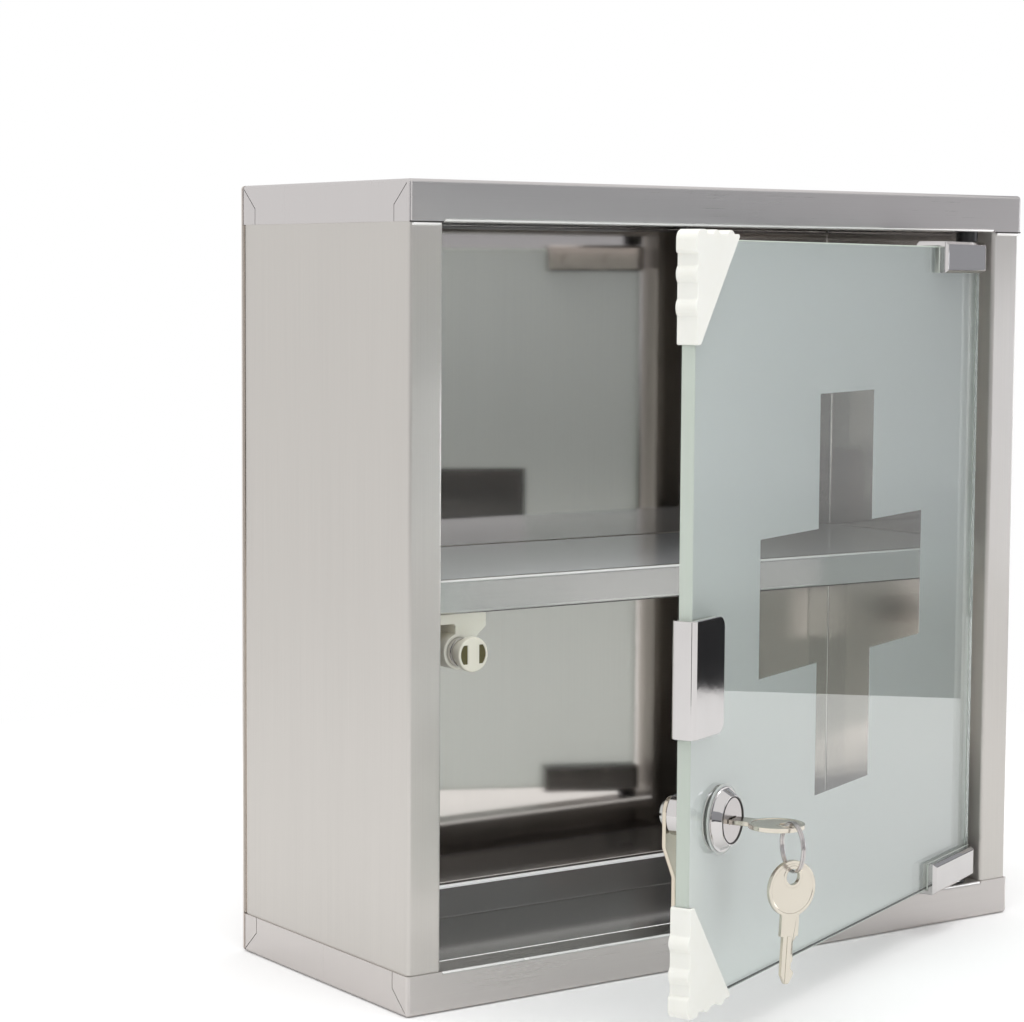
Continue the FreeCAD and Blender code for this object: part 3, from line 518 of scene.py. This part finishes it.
class Groups:
    """The shader and geometry groups that several finishes share, each built once."""

    grain: bpy.types.ShaderNodeTree
    inner: bpy.types.ShaderNodeTree
    cast: bpy.types.ShaderNodeTree
    smoothing: bpy.types.GeometryNodeTree

    @classmethod
    def build(cls) -> None:
        """Builds the groups."""
        cls.grain = grain_group()
        cls.inner = inner_side_group()
        cls.cast = cast_group()
        cls.smoothing = smoothing_group()


# -------------------- finishes


class Lay(Enum):
    """Direction that a sheet's brushing follows, as the turn that brings it to X."""

    WIDTH = (0.0, 0.0, 0.0)
    HEIGHT = (0.0, math.pi / 2, 0.0)


def new_material(name: str) -> tuple[bpy.types.Material, Tree, bpy.types.Node]:
    """Starts a material with an empty tree.

    Args:
        name: material name.

    Returns:
        The material, its tree and its output node.
    """
    material = bpy.data.materials.new(name)
    material.use_nodes = True
    material.node_tree.nodes.clear()
    tree = Tree(material.node_tree)
    return material, tree, tree.add("OutputMaterial")


def colour(red: float, green: float, blue: float) -> tuple[float, float, float, float]:
    """Turns 0..255 display values into the linear colour that shows as them."""
    values = np.array([red, green, blue]) / 255
    linear = np.where(values <= 0.04045, values / 12.92, ((values + 0.055) / 1.055) ** 2.4)
    return (*map(float, linear), 1.0)


@dataclass(frozen=True)
class BrushedSteel:
    """Sheet stainless steel brushed one way outside and smoother inside, where the shelf carries a milky
    protective coat and the base a dark coat that paints shade.
    """

    name: str
    tint: tuple[float, float, float]
    roughness: float
    lay: Lay
    streak: float = 0.05
    relief: float = 0.05
    depth: float = 0.1 * MM
    along: float = 14.0
    across: float = 2400.0
    stretch: float = 0.0
    vary: float = 0.05
    streak_share: float = 0.65
    tone_span: tuple[float, float] = (0.3, 0.7)
    inner_roughness: float = 0.08
    inner_vary: float = 0.012
    film_and_shade: float = 0.0
    film_and_shade_tint: tuple[float, float, float] = (246, 249, 254)

    def material(self) -> bpy.types.Material:
        """Builds the material: streaks vary tone, roughness and a slight relief.

        Returns:
            The material.
        """
        material, tree, output = new_material(self.name)
        place = tree.add("TexCoord")
        turn = self.lay.value
        turned = tree.add("Mapping", {"Vector": place.outputs["Object"], "Rotation": turn})
        facing = tree.add("Mapping", {"Vector": place.outputs["Normal"], "Rotation": turn},
                          vector_type="NORMAL")
        grain = tree.add("Group", {
            "Vector": turned.outputs[0], "Normal": facing.outputs[0],
            "Along": self.along, "Across": self.across,
        }, node_tree=Groups.grain)
        streaks = tree.math("MULTIPLY", grain.outputs["Streak"], self.streak_share)
        bands = tree.math("MULTIPLY", grain.outputs["Band"], 1 - self.streak_share)
        tone = tree.math("ADD", streaks, bands)
        base = np.array(colour(*self.tint)[:3])
        dark, light = base * (1 - self.streak), np.minimum(base * (1 + self.streak), 1.0)
        least, most = self.tone_span
        share = tree.add("MapRange", {"Value": tone, "From Min": least, "From Max": most}).outputs[0]
        shade = tree.blend(share, (*dark, 1.0), (*light, 1.0))
        rough = tree.math("ADD", tree.spread(tone, self.roughness - self.vary, self.roughness + self.vary),
                          tree.spread(grain.outputs["Cloud"], -self.vary / 2, self.vary / 2))
        mask = tree.add("Group", {"Vector": place.outputs["Object"]}, node_tree=Groups.inner)
        inner = mask.outputs["Inner"]
        least, most = self.inner_roughness - self.inner_vary, self.inner_roughness + self.inner_vary
        smooth = tree.spread(grain.outputs["Cloud"], least, most)
        both = tree.add("Mix", {0: inner, 2: rough, 3: smooth}).outputs[0]
        bump = tree.add("Bump", {
            "Strength": self.relief, "Distance": self.depth, "Height": grain.outputs["Streak"],
        })
        shader = tree.add("BsdfPrincipled", {
            "Base Color": shade, "Roughness": both, "Metallic": 1.0, "Normal": bump.outputs[0],
            "Anisotropic": self.stretch,
        })
        # Inner coat: milky and protective on the shelf; on the base a dark tint that paints the shaded
        # reflection its floor shows.
        if self.film_and_shade:
            covered = tree.math("MULTIPLY", inner, self.film_and_shade)
            tree.give(shader.inputs["Base Color"], tree.blend(covered, shade, colour(*self.film_and_shade_tint)))
            tree.give(shader.inputs["Metallic"], tree.math("SUBTRACT", 1.0, covered))
        if self.stretch:
            tree.give(shader.inputs["Tangent"], self.across_grain(tree))
        tree.give(output.inputs["Surface"], shader.outputs[0])
        return material

    def across_grain(self, tree: Tree) -> bpy.types.NodeSocket:
        """Direction over the surface that crosses the brushing: the face's normal crossed with the grain.

        Args:
            tree: the material's tree.

        Returns:
            The direction's socket.
        """
        normal = tree.add("NewGeometry").outputs["Normal"]
        grain = (0.0, 0.0, 1.0)
        if self.lay is Lay.WIDTH:
            across = tree.add("SeparateXYZ", {0: normal}).outputs[0]
            side = tree.math("GREATER_THAN", tree.math("ABSOLUTE", across), END_FACE)
            grain = tree.add("CombineXYZ", {0: tree.math("SUBTRACT", 1.0, side), 2: side}).outputs[0]
        return tree.add("VectorMath", {0: normal, 1: grain}, operation="CROSS_PRODUCT").outputs[0]


def cast_skin(tree: Tree, finish: "Plated | Moulded") -> dict[str, bpy.types.NodeSocket]:
    """Adds the surface that plated and moulded parts share: a ripple, and clouds of wear and roughness.

    Args:
        tree: the material's tree.
        finish: the finish that gives the surface its values.

    Returns:
        The shader's base colour, roughness and normal by socket name.
    """
    place = tree.add("TexCoord").outputs["Object"]
    cast = tree.add("Group", {"Vector": place, "Scale": finish.scale}, node_tree=Groups.cast)
    clean = colour(*finish.tint)
    worn = (*(np.array(clean[:3]) * finish.worn), 1.0)
    fall, rise = finish.vary
    least = max(finish.roughness - fall, SMOOTHEST)
    bump = tree.add("Bump", {
        "Strength": finish.ripple, "Distance": finish.depth, "Height": cast.outputs["Ripple"],
    })
    return {
        "Base Color": tree.blend(cast.outputs["Cloud"], clean, worn),
        "Roughness": tree.spread(cast.outputs["Cloud"], least, finish.roughness + rise),
        "Normal": bump.outputs[0],
    }


@dataclass(frozen=True)
class Plated:
    """Bright plated or turned metal with slight ripple and handling marks, and an optional white glow that
    paints a highlight.
    """

    name: str
    tint: tuple[float, float, float]
    roughness: float
    ripple: float = 0.02
    depth: float = 0.2 * MM
    scale: float = 350.0
    worn: tuple[float, float, float] = (0.92, 0.92, 0.92)
    vary: tuple[float, float] = (0.03, 0.05)
    metal: float = 1.0
    painted_glow: float = 0.0

    def material(self) -> bpy.types.Material:
        """Builds the material.

        Returns:
            The material.
        """
        material, tree, output = new_material(self.name)
        shader = tree.add("BsdfPrincipled", {
            **cast_skin(tree, self), "Metallic": self.metal,
            "Emission Color": PLAIN_WHITE, "Emission Strength": self.painted_glow,
        })
        tree.give(output.inputs["Surface"], shader.outputs[0])
        return material


@dataclass(frozen=True)
class Moulded:
    """Moulded plastic or rubber with a fine skin texture."""

    name: str
    tint: tuple[float, float, float]
    roughness: float
    ripple: float = 0.1
    depth: float = 0.1 * MM
    scale: float = 900.0
    worn: tuple[float, float, float] = (0.95, 0.945, 0.92)
    vary: tuple[float, float] = (0.05, 0.07)
    glow: float = 0.0
    glow_reach: tuple[float, float, float] = (0.003, 0.0028, 0.0024)

    def material(self) -> bpy.types.Material:
        """Builds the material.

        Returns:
            The material.
        """
        material, tree, output = new_material(self.name)
        shader = tree.add("BsdfPrincipled", {
            **cast_skin(tree, self), "Subsurface Weight": self.glow, "Subsurface Radius": self.glow_reach,
            "Subsurface Scale": 1.0,
        })
        tree.give(output.inputs["Surface"], shader.outputs[0])
        return material


@dataclass(frozen=True)
class ClearGlass:
    """Clear tempered glass; rays from lamps and soft light pass straight on with its tint."""

    name: str
    tint: tuple[float, float, float]

    def material(self) -> bpy.types.Material:
        """Builds the material.

        Returns:
            The material.
        """
        material, tree, output = new_material(self.name)
        tone = colour(*self.tint)
        shader = tree.add("BsdfPrincipled", {
            "Base Color": tone, "Roughness": 0.0, "IOR": 1.52, "Transmission Weight": 1.0,
        })
        through = tree.add("BsdfTransparent", {"Color": tone})
        path = tree.add("LightPath")
        soft = tree.math("MAXIMUM", path.outputs["Is Shadow Ray"], path.outputs["Is Diffuse Ray"])
        mixed = tree.add("MixShader", {0: soft, 1: shader.outputs[0], 2: through.outputs[0]})
        tree.give(output.inputs["Surface"], mixed.outputs[0])
        return material


@dataclass(frozen=True)
class Frost:
    """Etched or ground glass: scatters some light back and more of it onward, mostly ahead."""

    name: str
    tint: tuple[float, float, float]
    clear: float
    even: float
    roughness: float = 0.32
    thin: float = 0.985

    def material(self) -> bpy.types.Material:
        """Builds the material: a satin share that lets some light ahead, and an even glow through it.

        Returns:
            The material.
        """
        material, tree, output = new_material(self.name)
        place = tree.add("TexCoord")
        cloud = tree.add("TexNoise", {"Vector": place.outputs["Object"], "Scale": 22.0, "Detail": 3.0})
        clean = colour(*self.tint)
        thin = (*(np.array(clean[:3]) * self.thin), 1.0)
        shade = tree.blend(cloud.outputs[0], clean, thin)
        satin = tree.add("BsdfPrincipled", {
            "Base Color": shade, "Roughness": self.roughness, "IOR": 1.3, "Specular IOR Level": 0.2,
            "Transmission Weight": self.clear,
        })
        onward = tree.add("BsdfTranslucent", {"Color": shade})
        mixed = tree.add("MixShader", {0: self.even, 1: satin.outputs[0], 2: onward.outputs[0]})
        tree.give(output.inputs["Surface"], mixed.outputs[0])
        return material


class Paintbox:
    """Every finish of the cabinet, built once and handed out by name."""

    finishes = (
        BrushedSteel("steel_upright", (211, 207, 202), 0.38, Lay.HEIGHT, streak=0.035, stretch=0.95),
        BrushedSteel("steel_level", (207, 203, 202), 0.28, Lay.WIDTH, streak=0.02, relief=0.015, stretch=0.95,
                     vary=0.02),
        # The base's dark inner coat paints the dark reflection seen on its floor.
        BrushedSteel("steel_base", (214, 209, 206), 0.28, Lay.WIDTH, streak=0.02, relief=0.015, stretch=0.95,
                     vary=0.02, film_and_shade=0.4, film_and_shade_tint=(58, 60, 64)),
        BrushedSteel("steel_back", (221, 215, 210), 0.075, Lay.HEIGHT, streak=0.02, relief=0.02, vary=0.012,
                     inner_roughness=0.055),
        BrushedSteel("steel_shelf", (212, 210, 207), 0.26, Lay.WIDTH, stretch=0.8, vary=0.03, film_and_shade=0.7),
        Plated("chrome", (209, 206, 205), 0.05),
        Plated("nickel", (196, 191, 190), 0.16, ripple=0.05),
        Plated("key_nickel", (218, 211, 198), 0.17, ripple=0.05),
        # Near-white, half-metal beads that paint the bright highlights along the case's bends.
        Plated("bend_highlight_paint", (252, 251, 249), 0.25, ripple=0.01, metal=0.3),
        # The same bead with a white glow: it paints a bright highlight where the base's bends lie in shade.
        Plated("hem_painted_glow", (252, 251, 249), 0.25, ripple=0.01, metal=0.3, painted_glow=0.4),
        Plated("cam_nickel", (216, 206, 189), 0.24, ripple=0.06),
        Plated("zinc", (190, 190, 186), 0.28, ripple=0.08),
        Plated("brass", (205, 172, 105), 0.22, ripple=0.05),
        Plated("pole_steel", (120, 112, 82), 0.32),
        Plated("magnet", (70, 70, 72), 0.4),
        Moulded("plate_dark", (22, 23, 24), 0.6),
        Moulded("nylon_black", (28, 28, 30), 0.42),
        # Dark wire that paints the shade in the seams at the cap's corners and round the lock plug.
        Moulded("seam_painted_shade", (52, 48, 47), 0.5),
        Moulded("liner_pale", (205, 208, 204), 0.45),
        Moulded("gasket_pale", (196, 200, 198), 0.5, glow=0.2),
        Moulded("white_plastic", (236, 233, 220), 0.34, glow=0.1),
        # A lighter copy of white_plastic: its extra brightness paints light on the bracket where it sits in
        # the shelf's shadow.
        Moulded("bracket_painted_light_plastic", (250, 248, 236), 0.34, glow=0.15),
        Moulded("guard_plastic", (240, 240, 234), 0.42, glow=0.15),
        ClearGlass("clear_glass", (252, 254, 253)),
        Frost("frost", (250, 255, 254), 0.80, 0.17),
        Frost("ground_edge", (224, 230, 223), 0.0, 0.45, 0.5),
    )
    made: dict[str, bpy.types.Material] = {}

    @classmethod
    def get(cls, name: str) -> bpy.types.Material:
        """The material with that name, built at its first use."""
        if name not in cls.made:
            cls.made[name] = next(finish for finish in cls.finishes if finish.name == name).material()
        return cls.made[name]


def dress_node(node: str, finish: str, edge: float = 0.0) -> None:
    """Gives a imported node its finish, softened edges and smooth shading.

    Args:
        node: node name.
        finish: finish name.
        edge: width of the rounding of its sharp edges, or zero to leave them.
    """
    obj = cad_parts[node]
    obj.data.materials.clear()
    obj.data.materials.append(Paintbox.get(finish))
    modifier = obj.modifiers.new("weld_and_smooth", "NODES")
    modifier.node_group = Groups.smoothing
    if edge:
        merge = obj.modifiers.new("merge_flats", "DECIMATE")
        merge.decimate_type = "DISSOLVE"
        merge.angle_limit = FLAT_ANGLE
        soften = obj.modifiers.new("soften_edges", "BEVEL")
        soften.width = edge
        soften.segments = 2
        soften.limit_method = "ANGLE"
        soften.angle_limit = EDGE_ANGLE
        soften.use_clamp_overlap = False
        soften.harden_normals = False
    level = obj.modifiers.new("level_flats", "WEIGHTED_NORMAL")
    level.keep_sharp = True


def dress_piece(obj: bpy.types.Object, finish: str, slot: str, body: str, *nodes: str) -> None:
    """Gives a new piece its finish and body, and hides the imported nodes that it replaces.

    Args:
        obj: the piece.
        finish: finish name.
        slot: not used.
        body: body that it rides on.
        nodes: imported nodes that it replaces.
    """
    obj.data.materials.append(Paintbox.get(finish))
    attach(obj, body)
    if nodes:
        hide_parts(*nodes)


# -------------------- the cabinet


@dataclass(frozen=True)
class Line:
    """Thin level bead along a bend or seam of the case, in millimetres, that paints a highlight on a bend and
    shade in a seam.
    """

    name: str
    start: float
    stop: float
    depth: float
    height: float
    radius: float = 0.6
    finish: str = "bend_highlight_paint"


@dataclass
class Case:
    """Steel case with its back, shelf and pivot bushes."""

    finishes: tuple[tuple[str, str], ...] = (
        ("base", "steel_base"),
        ("cap", "steel_level"),
        ("left_side_panel", "steel_upright"),
        ("right_side_panel", "steel_upright"),
        ("back_panel", "steel_back"),
        ("shelf", "steel_shelf"),
        ("pivot_bush_bottom", "nylon_black"),
        ("pivot_bush_top", "nylon_black"),
    )
    # The near-white and glowing beads paint highlights along the bends; the dark wires paint shade in the
    # cap's seams.
    lines: tuple[Line, ...] = (
        Line("base_front_bend", -134.8, 134.8, -59.30, 14.30),
        Line("cap_front_bend", -134.8, 134.8, -59.30, 285.70),
        Line("cap_lip_bend", -134.8, 134.8, -46.70, 285.70),
        Line("shelf_front_bend", -148.2, 148.2, -44.30, 154.80),
        Line("base_lip_bend", -134.8, 134.8, -46.70, 14.30, 0.8, "hem_painted_glow"),
        Line("base_rear_hem", -148.2, 148.2, 56.95, 14.35, 0.8, "hem_painted_glow"),
        Line("left_stile_top_bend", -136.3, -148.6, -59.55, 284.2),
        Line("left_cap_seam", -135.3, -149.7, -59.8, 285.0, 0.3, "seam_painted_shade"),
        Line("right_stile_top_bend", 136.3, 148.6, -59.55, 284.2),
        Line("right_cap_seam", 135.3, 149.7, -59.8, 285.0, 0.3, "seam_painted_shade"),
    )

    def build(self) -> None:
        """Dresses the case's nodes and adds the beads that paint highlights along its bends and shade in its
        seams.
        """
        for node, finish in self.finishes:
            dress_node(node, finish)
        for line in self.lines:
            ends = np.array([(x, line.depth, line.height) for x in (line.start, line.stop)]) * MM
            bar = round_bar(line.name, ends, line.radius * MM)
            dress_piece(bar, line.finish, "case_steel", "cabinet")
        log.info("case: %d nodes, %d lines", len(self.finishes), len(self.lines))


@dataclass
class Door:
    """Glass plate with its frosted skin and ground edges, and the hinge clips."""

    frost_gap: float = 0.006 * MM
    frost_thickness: float = 0.036 * MM
    arris: float = 0.4 * MM
    cross_half_span: float = 74 * MM
    cross_half_arm: float = 24.65 * MM
    lock_clearing: float = 11.6 * MM
    edge_skin: float = 0.03 * MM
    edge_cling: float = 0.006 * MM

    def build(self) -> None:
        """Dresses the glass and the clips and adds the skin and the ground edge."""
        dress_node("door_glass", "clear_glass")
        self.add_frost()
        self.add_ground_edge()
        for end in ("bottom", "top"):
            dress_node("hinge_clip_" + end, "chrome", 0.18 * MM)
            dress_node("clip_pads_" + end, "liner_pale")
            dress_node("clamp_plate_" + end, "plate_dark", 0.15 * MM)
            dress_node("clip_screws_" + end, "chrome")
            dress_node("pivot_pin_" + end, "zinc")
        log.info("door: glass, frost, ground edge and two clips")

    def cross_outline(self) -> np.ndarray:
        """Rows of x, z round the clear cross."""
        span, arm = self.cross_half_span, self.cross_half_arm
        steps = [(arm, span), (-arm, span), (-arm, arm), (-span, arm), (-span, -arm), (-arm, -arm),
                 (-arm, -span), (arm, -span), (arm, -arm), (span, -arm), (span, arm), (arm, arm)]
        return np.array(steps) + (0.0, MIDDLE_HEIGHT)

    def add_frost(self) -> None:
        """Adds the etched skin as a thin plate behind the glass, open at the cross and the lock."""
        left, right = GLASS_FREE + self.arris, GLASS_HINGED - self.arris
        low, high = GLASS_LOW + self.arris, GLASS_HIGH - self.arris
        outline = np.array([(left, low), (right, low), (right, high), (left, high)])
        start = GLASS_BACK + self.frost_gap
        holes = [self.cross_outline(), circle(LOCK_X, LOCK_Z, self.lock_clearing)]
        skin = slab("glass_frost", outline, holes, start, start + self.frost_thickness)
        dress_piece(skin, "frost", "frosted_glass", "door")

    def add_ground_edge(self) -> None:
        """Adds the ground edge as a thin band round the glass that also covers its two arrises."""
        half = HALF_GLASS - self.arris
        skin, cling = self.edge_skin, self.edge_cling
        front = [(cling, -half), (cling - self.arris, -HALF_GLASS - cling),
                 (skin - self.arris, -HALF_GLASS - skin), (skin, -half)]
        profile = front + [(reach, -depth) for reach, depth in reversed(front)]
        corners = np.array([(GLASS_FREE, GLASS_LOW), (GLASS_HINGED, GLASS_LOW),
                            (GLASS_HINGED, GLASS_HIGH), (GLASS_FREE, GLASS_HIGH)])
        outward = np.array([(-1, -1), (1, -1), (1, 1), (-1, 1)])
        loops = []
        for reach, depth in profile:
            flat = corners + outward * reach
            loops.append(np.column_stack([flat[:, 0], np.full(len(flat), GLASS_MIDDLE + depth), flat[:, 1]]))
        points = np.stack(loops, axis=1).reshape(-1, 3)
        faces = grid_faces(len(corners), len(profile), True, True)
        band = mesh_object("glass_ground_edge", turned_with_door(points), faces, False)
        dress_piece(band, "ground_edge", "frosted_glass", "door")


@dataclass
class Fittings:
    """Handle, lock, keys, guards and push catch."""

    finishes: tuple[tuple[str, str, float], ...] = (
        ("handle_clip", "chrome", 0.2),
        ("handle_liner", "liner_pale", 0.0),
        ("lock_body", "chrome", 0.15),
        ("lock_gasket", "gasket_pale", 0.0),
        ("lock_washer", "zinc", 0.1),
        ("lock_nut", "zinc", 0.3),
        ("lock_plug", "nickel", 0.12),
        ("lock_wafers", "brass", 0.0),
        ("lock_cam", "cam_nickel", 0.15),
        ("cam_screw", "zinc", 0.1),
        ("key", "key_nickel", 0.12),
        ("key_ring", "nickel", 0.0),
        ("key_spare", "key_nickel", 0.12),
        ("corner_guard_bottom", "guard_plastic", 0.3),
        ("corner_guard_top", "guard_plastic", 0.3),
        ("catch_bracket", "bracket_painted_light_plastic", 0.25),
        ("bracket_screws", "brass", 0.1),
        ("catch_barrel", "chrome", 0.15),
        ("catch_plunger", "white_plastic", 0.2),
        ("catch_magnet", "magnet", 0.0),
        ("catch_pole_plates", "pole_steel", 0.0),
    )
    seam_radius: float = 8.0 * MM
    seam_wire: float = 0.28 * MM
    seam_rise: float = 4.12 * MM
    spring_turns: float = 6.0
    spring_wire: float = 0.35 * MM
    plunger_travel: float = 4.0 * MM

    def build(self) -> None:
        """Adds the dark ring that paints the plug's seam shade and the catch's spring, and dresses the small
        parts.
        """
        self.add_plug_seam()
        self.add_spring()
        for node, finish, edge in self.finishes:
            dress_node(node, finish, edge * MM)
        log.info("fittings: %d nodes", len(self.finishes))

    def add_plug_seam(self) -> None:
        """Adds a dark ring that paints the shade in the seam between the lock's collar and its plug."""
        centre = np.array([LOCK_X, GLASS_FRONT - self.seam_rise, LOCK_Z])
        seam = ring_tube("lock_plug_seam", centre, self.seam_radius, self.seam_wire)
        dress_piece(seam, "seam_painted_shade", "zinc_steel", "door")

    def add_spring(self) -> None:
        """Adds the catch's coil spring in place of the imported one."""
        low, high = (np.array(corner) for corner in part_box("catch_spring"))
        coil = coil_spring("catch_spring_coil", low, high, self.spring_turns, self.spring_wire)
        dress_piece(coil, "zinc", "zinc_steel", "cabinet", "catch_spring")
        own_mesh(coil)


# -------------------- studio


@dataclass(frozen=True)
class Card:
    """Upright card by the cabinet, seen only in metal and glass, between two x, y points on the floor."""

    name: str
    start: tuple[float, float]
    stop: tuple[float, float]
    heights: tuple[float, float]
    tone: float = 0.03
    upper_tone: float = 0.03
    rise: tuple[float, float] = (0.05, 0.14)


@dataclass
class Studio:
    """Pale floor, white surround, a soft lamp and the cards that bright metal and glass mirror."""

    floor_reach: tuple[float, float] = (0.75, 1.75)
    floor_sides: int = 96
    floor_bearing: float = math.radians(205.0)
    floor_swell: float = 0.7
    floor_level: float = -0.0002
    floor_lift: float = 0.08
    paper: tuple[float, float, float, float] = (0.93, 0.93, 0.93, 1.0)
    clear_reach: tuple[float, float] = (0.42, 0.62)
    card_colour: tuple[float, float, float, float] = (0.96, 0.98, 1.04, 1.0)
    soft_light: float = 0.80
    lamp_place: tuple[float, float, float] = (-0.3, -0.5, 2.2)
    lamp_aim: tuple[float, float, float] = (0.0, 0.0, 0.1)
    lamp_size: float = 2.0
    lamp_power: float = 28.0
    cards: tuple[Card, ...] = (
        Card("card_right", (0.700, 0.35), (0.747, -0.26), (0.0, 0.9), 0.03, 0.42),
        Card("card_front", (1.38, -1.09), (0.24, -1.74), (0.0, 1.1), 0.02, 0.45, (0.07, 0.20)),
        Card("card_near", (-0.533, -0.820), (-0.647, -0.740), (0.0, 0.45), 0.04, 0.04),
        Card("card_left", (-0.62, -1.69), (-1.47, -1.03), (0.0, 1.4), 0.08, 0.40, (0.07, 0.20)),
        Card("panel_bright", (1.45, -0.39), (1.30, -0.78), (0.0, 0.27), 6.5, 6.5),
    )

    def build(self) -> None:
        """Builds surround, floor, cards and lamp."""
        bpy.context.scene.view_settings.view_transform = "Standard"
        self.add_world()
        self.add_floor()
        for card in self.cards:
            self.add_card(card)
        self.add_lamp()
        log.info("studio: floor, %d cards and lamp", len(self.cards))

    def add_world(self) -> None:
        """White surround for the camera, metal and glass, and a plain level of soft light."""
        world = bpy.data.worlds.new("surround")
        bpy.context.scene.world = world
        world.use_nodes = True
        world.node_tree.nodes.clear()
        tree = Tree(world.node_tree)
        path = tree.add("LightPath")
        mirrored = tree.math("MAXIMUM", path.outputs["Is Glossy Ray"], path.outputs["Is Transmission Ray"])
        seen = tree.math("MAXIMUM", path.outputs["Is Camera Ray"], mirrored)
        soft = tree.add("Background", {"Color": PLAIN_WHITE, "Strength": self.soft_light})
        white = tree.add("Background", {"Color": PLAIN_WHITE, "Strength": 1.0})
        mixed = tree.add("MixShader", {0: seen, 1: soft.outputs[0], 2: white.outputs[0]})
        output = tree.add("OutputWorld", {"Surface": mixed.outputs[0]})
        output.is_active_output = True

    def add_floor(self) -> None:
        """Pale round floor that keeps the cabinet's shadow and turns plain white away from it."""
        count = self.floor_sides
        bearing = round_steps(count)
        front = 0.5 + 0.5 * np.cos(bearing - self.floor_bearing)
        near, far = self.floor_reach
        reach = near + (far - near) * front ** self.floor_swell
        level = np.full(count, self.floor_level)
        points = np.column_stack([reach * np.sin(bearing), reach * np.cos(bearing), level])
        points = np.vstack([points, (0.0, 0.0, self.floor_level)])
        numbers = np.arange(count)
        faces = np.column_stack([np.roll(numbers, -1), numbers, np.full(count, count)])
        floor = mesh_object("floor", points, faces, False)
        material, tree, output = new_material("floor_paper")
        path = tree.add("LightPath")
        place = tree.add("TexCoord")
        away = tree.add("VectorMath", {0: place.outputs["Object"]}, operation="LENGTH").outputs["Value"]
        near, far = self.clear_reach
        plain = tree.add("MapRange", {"Value": away, "From Min": near, "From Max": far}).outputs[0]
        shader = tree.add("BsdfPrincipled", {
            "Base Color": self.paper, "Roughness": 0.9, "Specular IOR Level": 0.1,
        })
        lifted = tree.math("MULTIPLY", path.outputs["Is Camera Ray"], self.floor_lift)
        lift = tree.add("Emission", {"Color": PLAIN_WHITE, "Strength": lifted})
        paper = tree.add("AddShader", {0: shader.outputs[0], 1: lift.outputs[0]})
        white = tree.add("Emission", {"Color": PLAIN_WHITE, "Strength": 1.0})
        share = tree.math("MULTIPLY", plain, path.outputs["Is Camera Ray"])
        both = tree.add("MixShader", {0: share, 1: paper.outputs[0], 2: white.outputs[0]})
        tree.give(output.inputs["Surface"], both.outputs[0])
        floor.data.materials.append(material)

    def add_card(self, card: Card) -> None:
        """Adds one card that gives off its own tone and has no shadow.

        Args:
            card: its place, size and tone.
        """
        ends = np.array([card.start, card.stop])
        low, high = (np.column_stack([ends, np.full(2, level)]) for level in card.heights)
        obj = mesh_object(card.name, np.vstack([low, high]), grid_faces(2, 2, False, False), False)
        material, tree, output = new_material(card.name)
        place = tree.add("SeparateXYZ", {0: tree.add("TexCoord").outputs["Object"]})
        strength = tree.add("MapRange", {
            "Value": place.outputs[2], "From Min": card.rise[0], "From Max": card.rise[1],
            "To Min": card.tone, "To Max": card.upper_tone,
        })
        shader = tree.add("Emission", {"Color": self.card_colour, "Strength": strength.outputs[0]})
        tree.give(output.inputs["Surface"], shader.outputs[0])
        obj.data.materials.append(material)
        obj.visible_camera = False
        obj.visible_diffuse = False
        obj.visible_shadow = False

    def add_lamp(self) -> None:
        """Adds the square soft lamp, which metal and glass don't mirror."""
        lamp = bpy.data.lights.new("lamp_above", "AREA")
        lamp.size = self.lamp_size
        lamp.energy = self.lamp_power
        obj = bpy.data.objects.new("lamp_above", lamp)
        obj.visible_glossy = False
        obj.location = self.lamp_place
        obj.rotation_mode = "QUATERNION"
        obj.rotation_quaternion = (Vector(self.lamp_aim) - Vector(self.lamp_place)).to_track_quat("-Z", "Y")
        bpy.context.scene.collection.objects.link(obj)


@dataclass
class Viewpoint:
    """The camera at the photograph's place."""

    place: tuple[float, float, float] = (-0.6693, -0.8693, 0.2667)
    azimuth: float = math.radians(34.87)
    pitch: float = math.radians(4.96)
    roll: float = math.radians(-0.35)
    focal_pixels: float = 2729.2
    frame_pixels: float = 1024.0
    sensor: float = 36.0
    clip: tuple[float, float] = (0.01, 60.0)

    def build(self) -> None:
        """Adds the camera from its direction, pitch and roll."""
        camera = bpy.data.cameras.new("viewpoint")
        camera.sensor_width = self.sensor
        camera.lens = self.focal_pixels * self.sensor / self.frame_pixels
        camera.clip_start, camera.clip_end = self.clip
        sine, cosine = math.sin(self.azimuth), math.cos(self.azimuth)
        ahead = np.array([sine * math.cos(self.pitch), cosine * math.cos(self.pitch), -math.sin(self.pitch)])
        level = np.array([cosine, -sine, 0.0])
        down = np.cross(ahead, level)
        right = math.cos(self.roll) * level + math.sin(self.roll) * down
        below = -math.sin(self.roll) * level + math.cos(self.roll) * down
        turn = np.column_stack([right, -below, -ahead])
        obj = bpy.data.objects.new("viewpoint", camera)
        obj.matrix_world = Matrix.Translation(self.place) @ Matrix(turn.tolist()).to_4x4()
        bpy.context.scene.collection.objects.link(obj)
        bpy.context.scene.camera = obj
        log.info("viewpoint: lens %.2f mm", camera.lens)


def main() -> None:
    """Builds every part in order."""
    logging.basicConfig(level=logging.INFO, format="%(name)s: %(message)s")
    Groups.build()
    Viewpoint().build()
    Studio().build()
    Case().build()
    Door().build()
    Fittings().build()


if __name__ == "__main__":
    main()
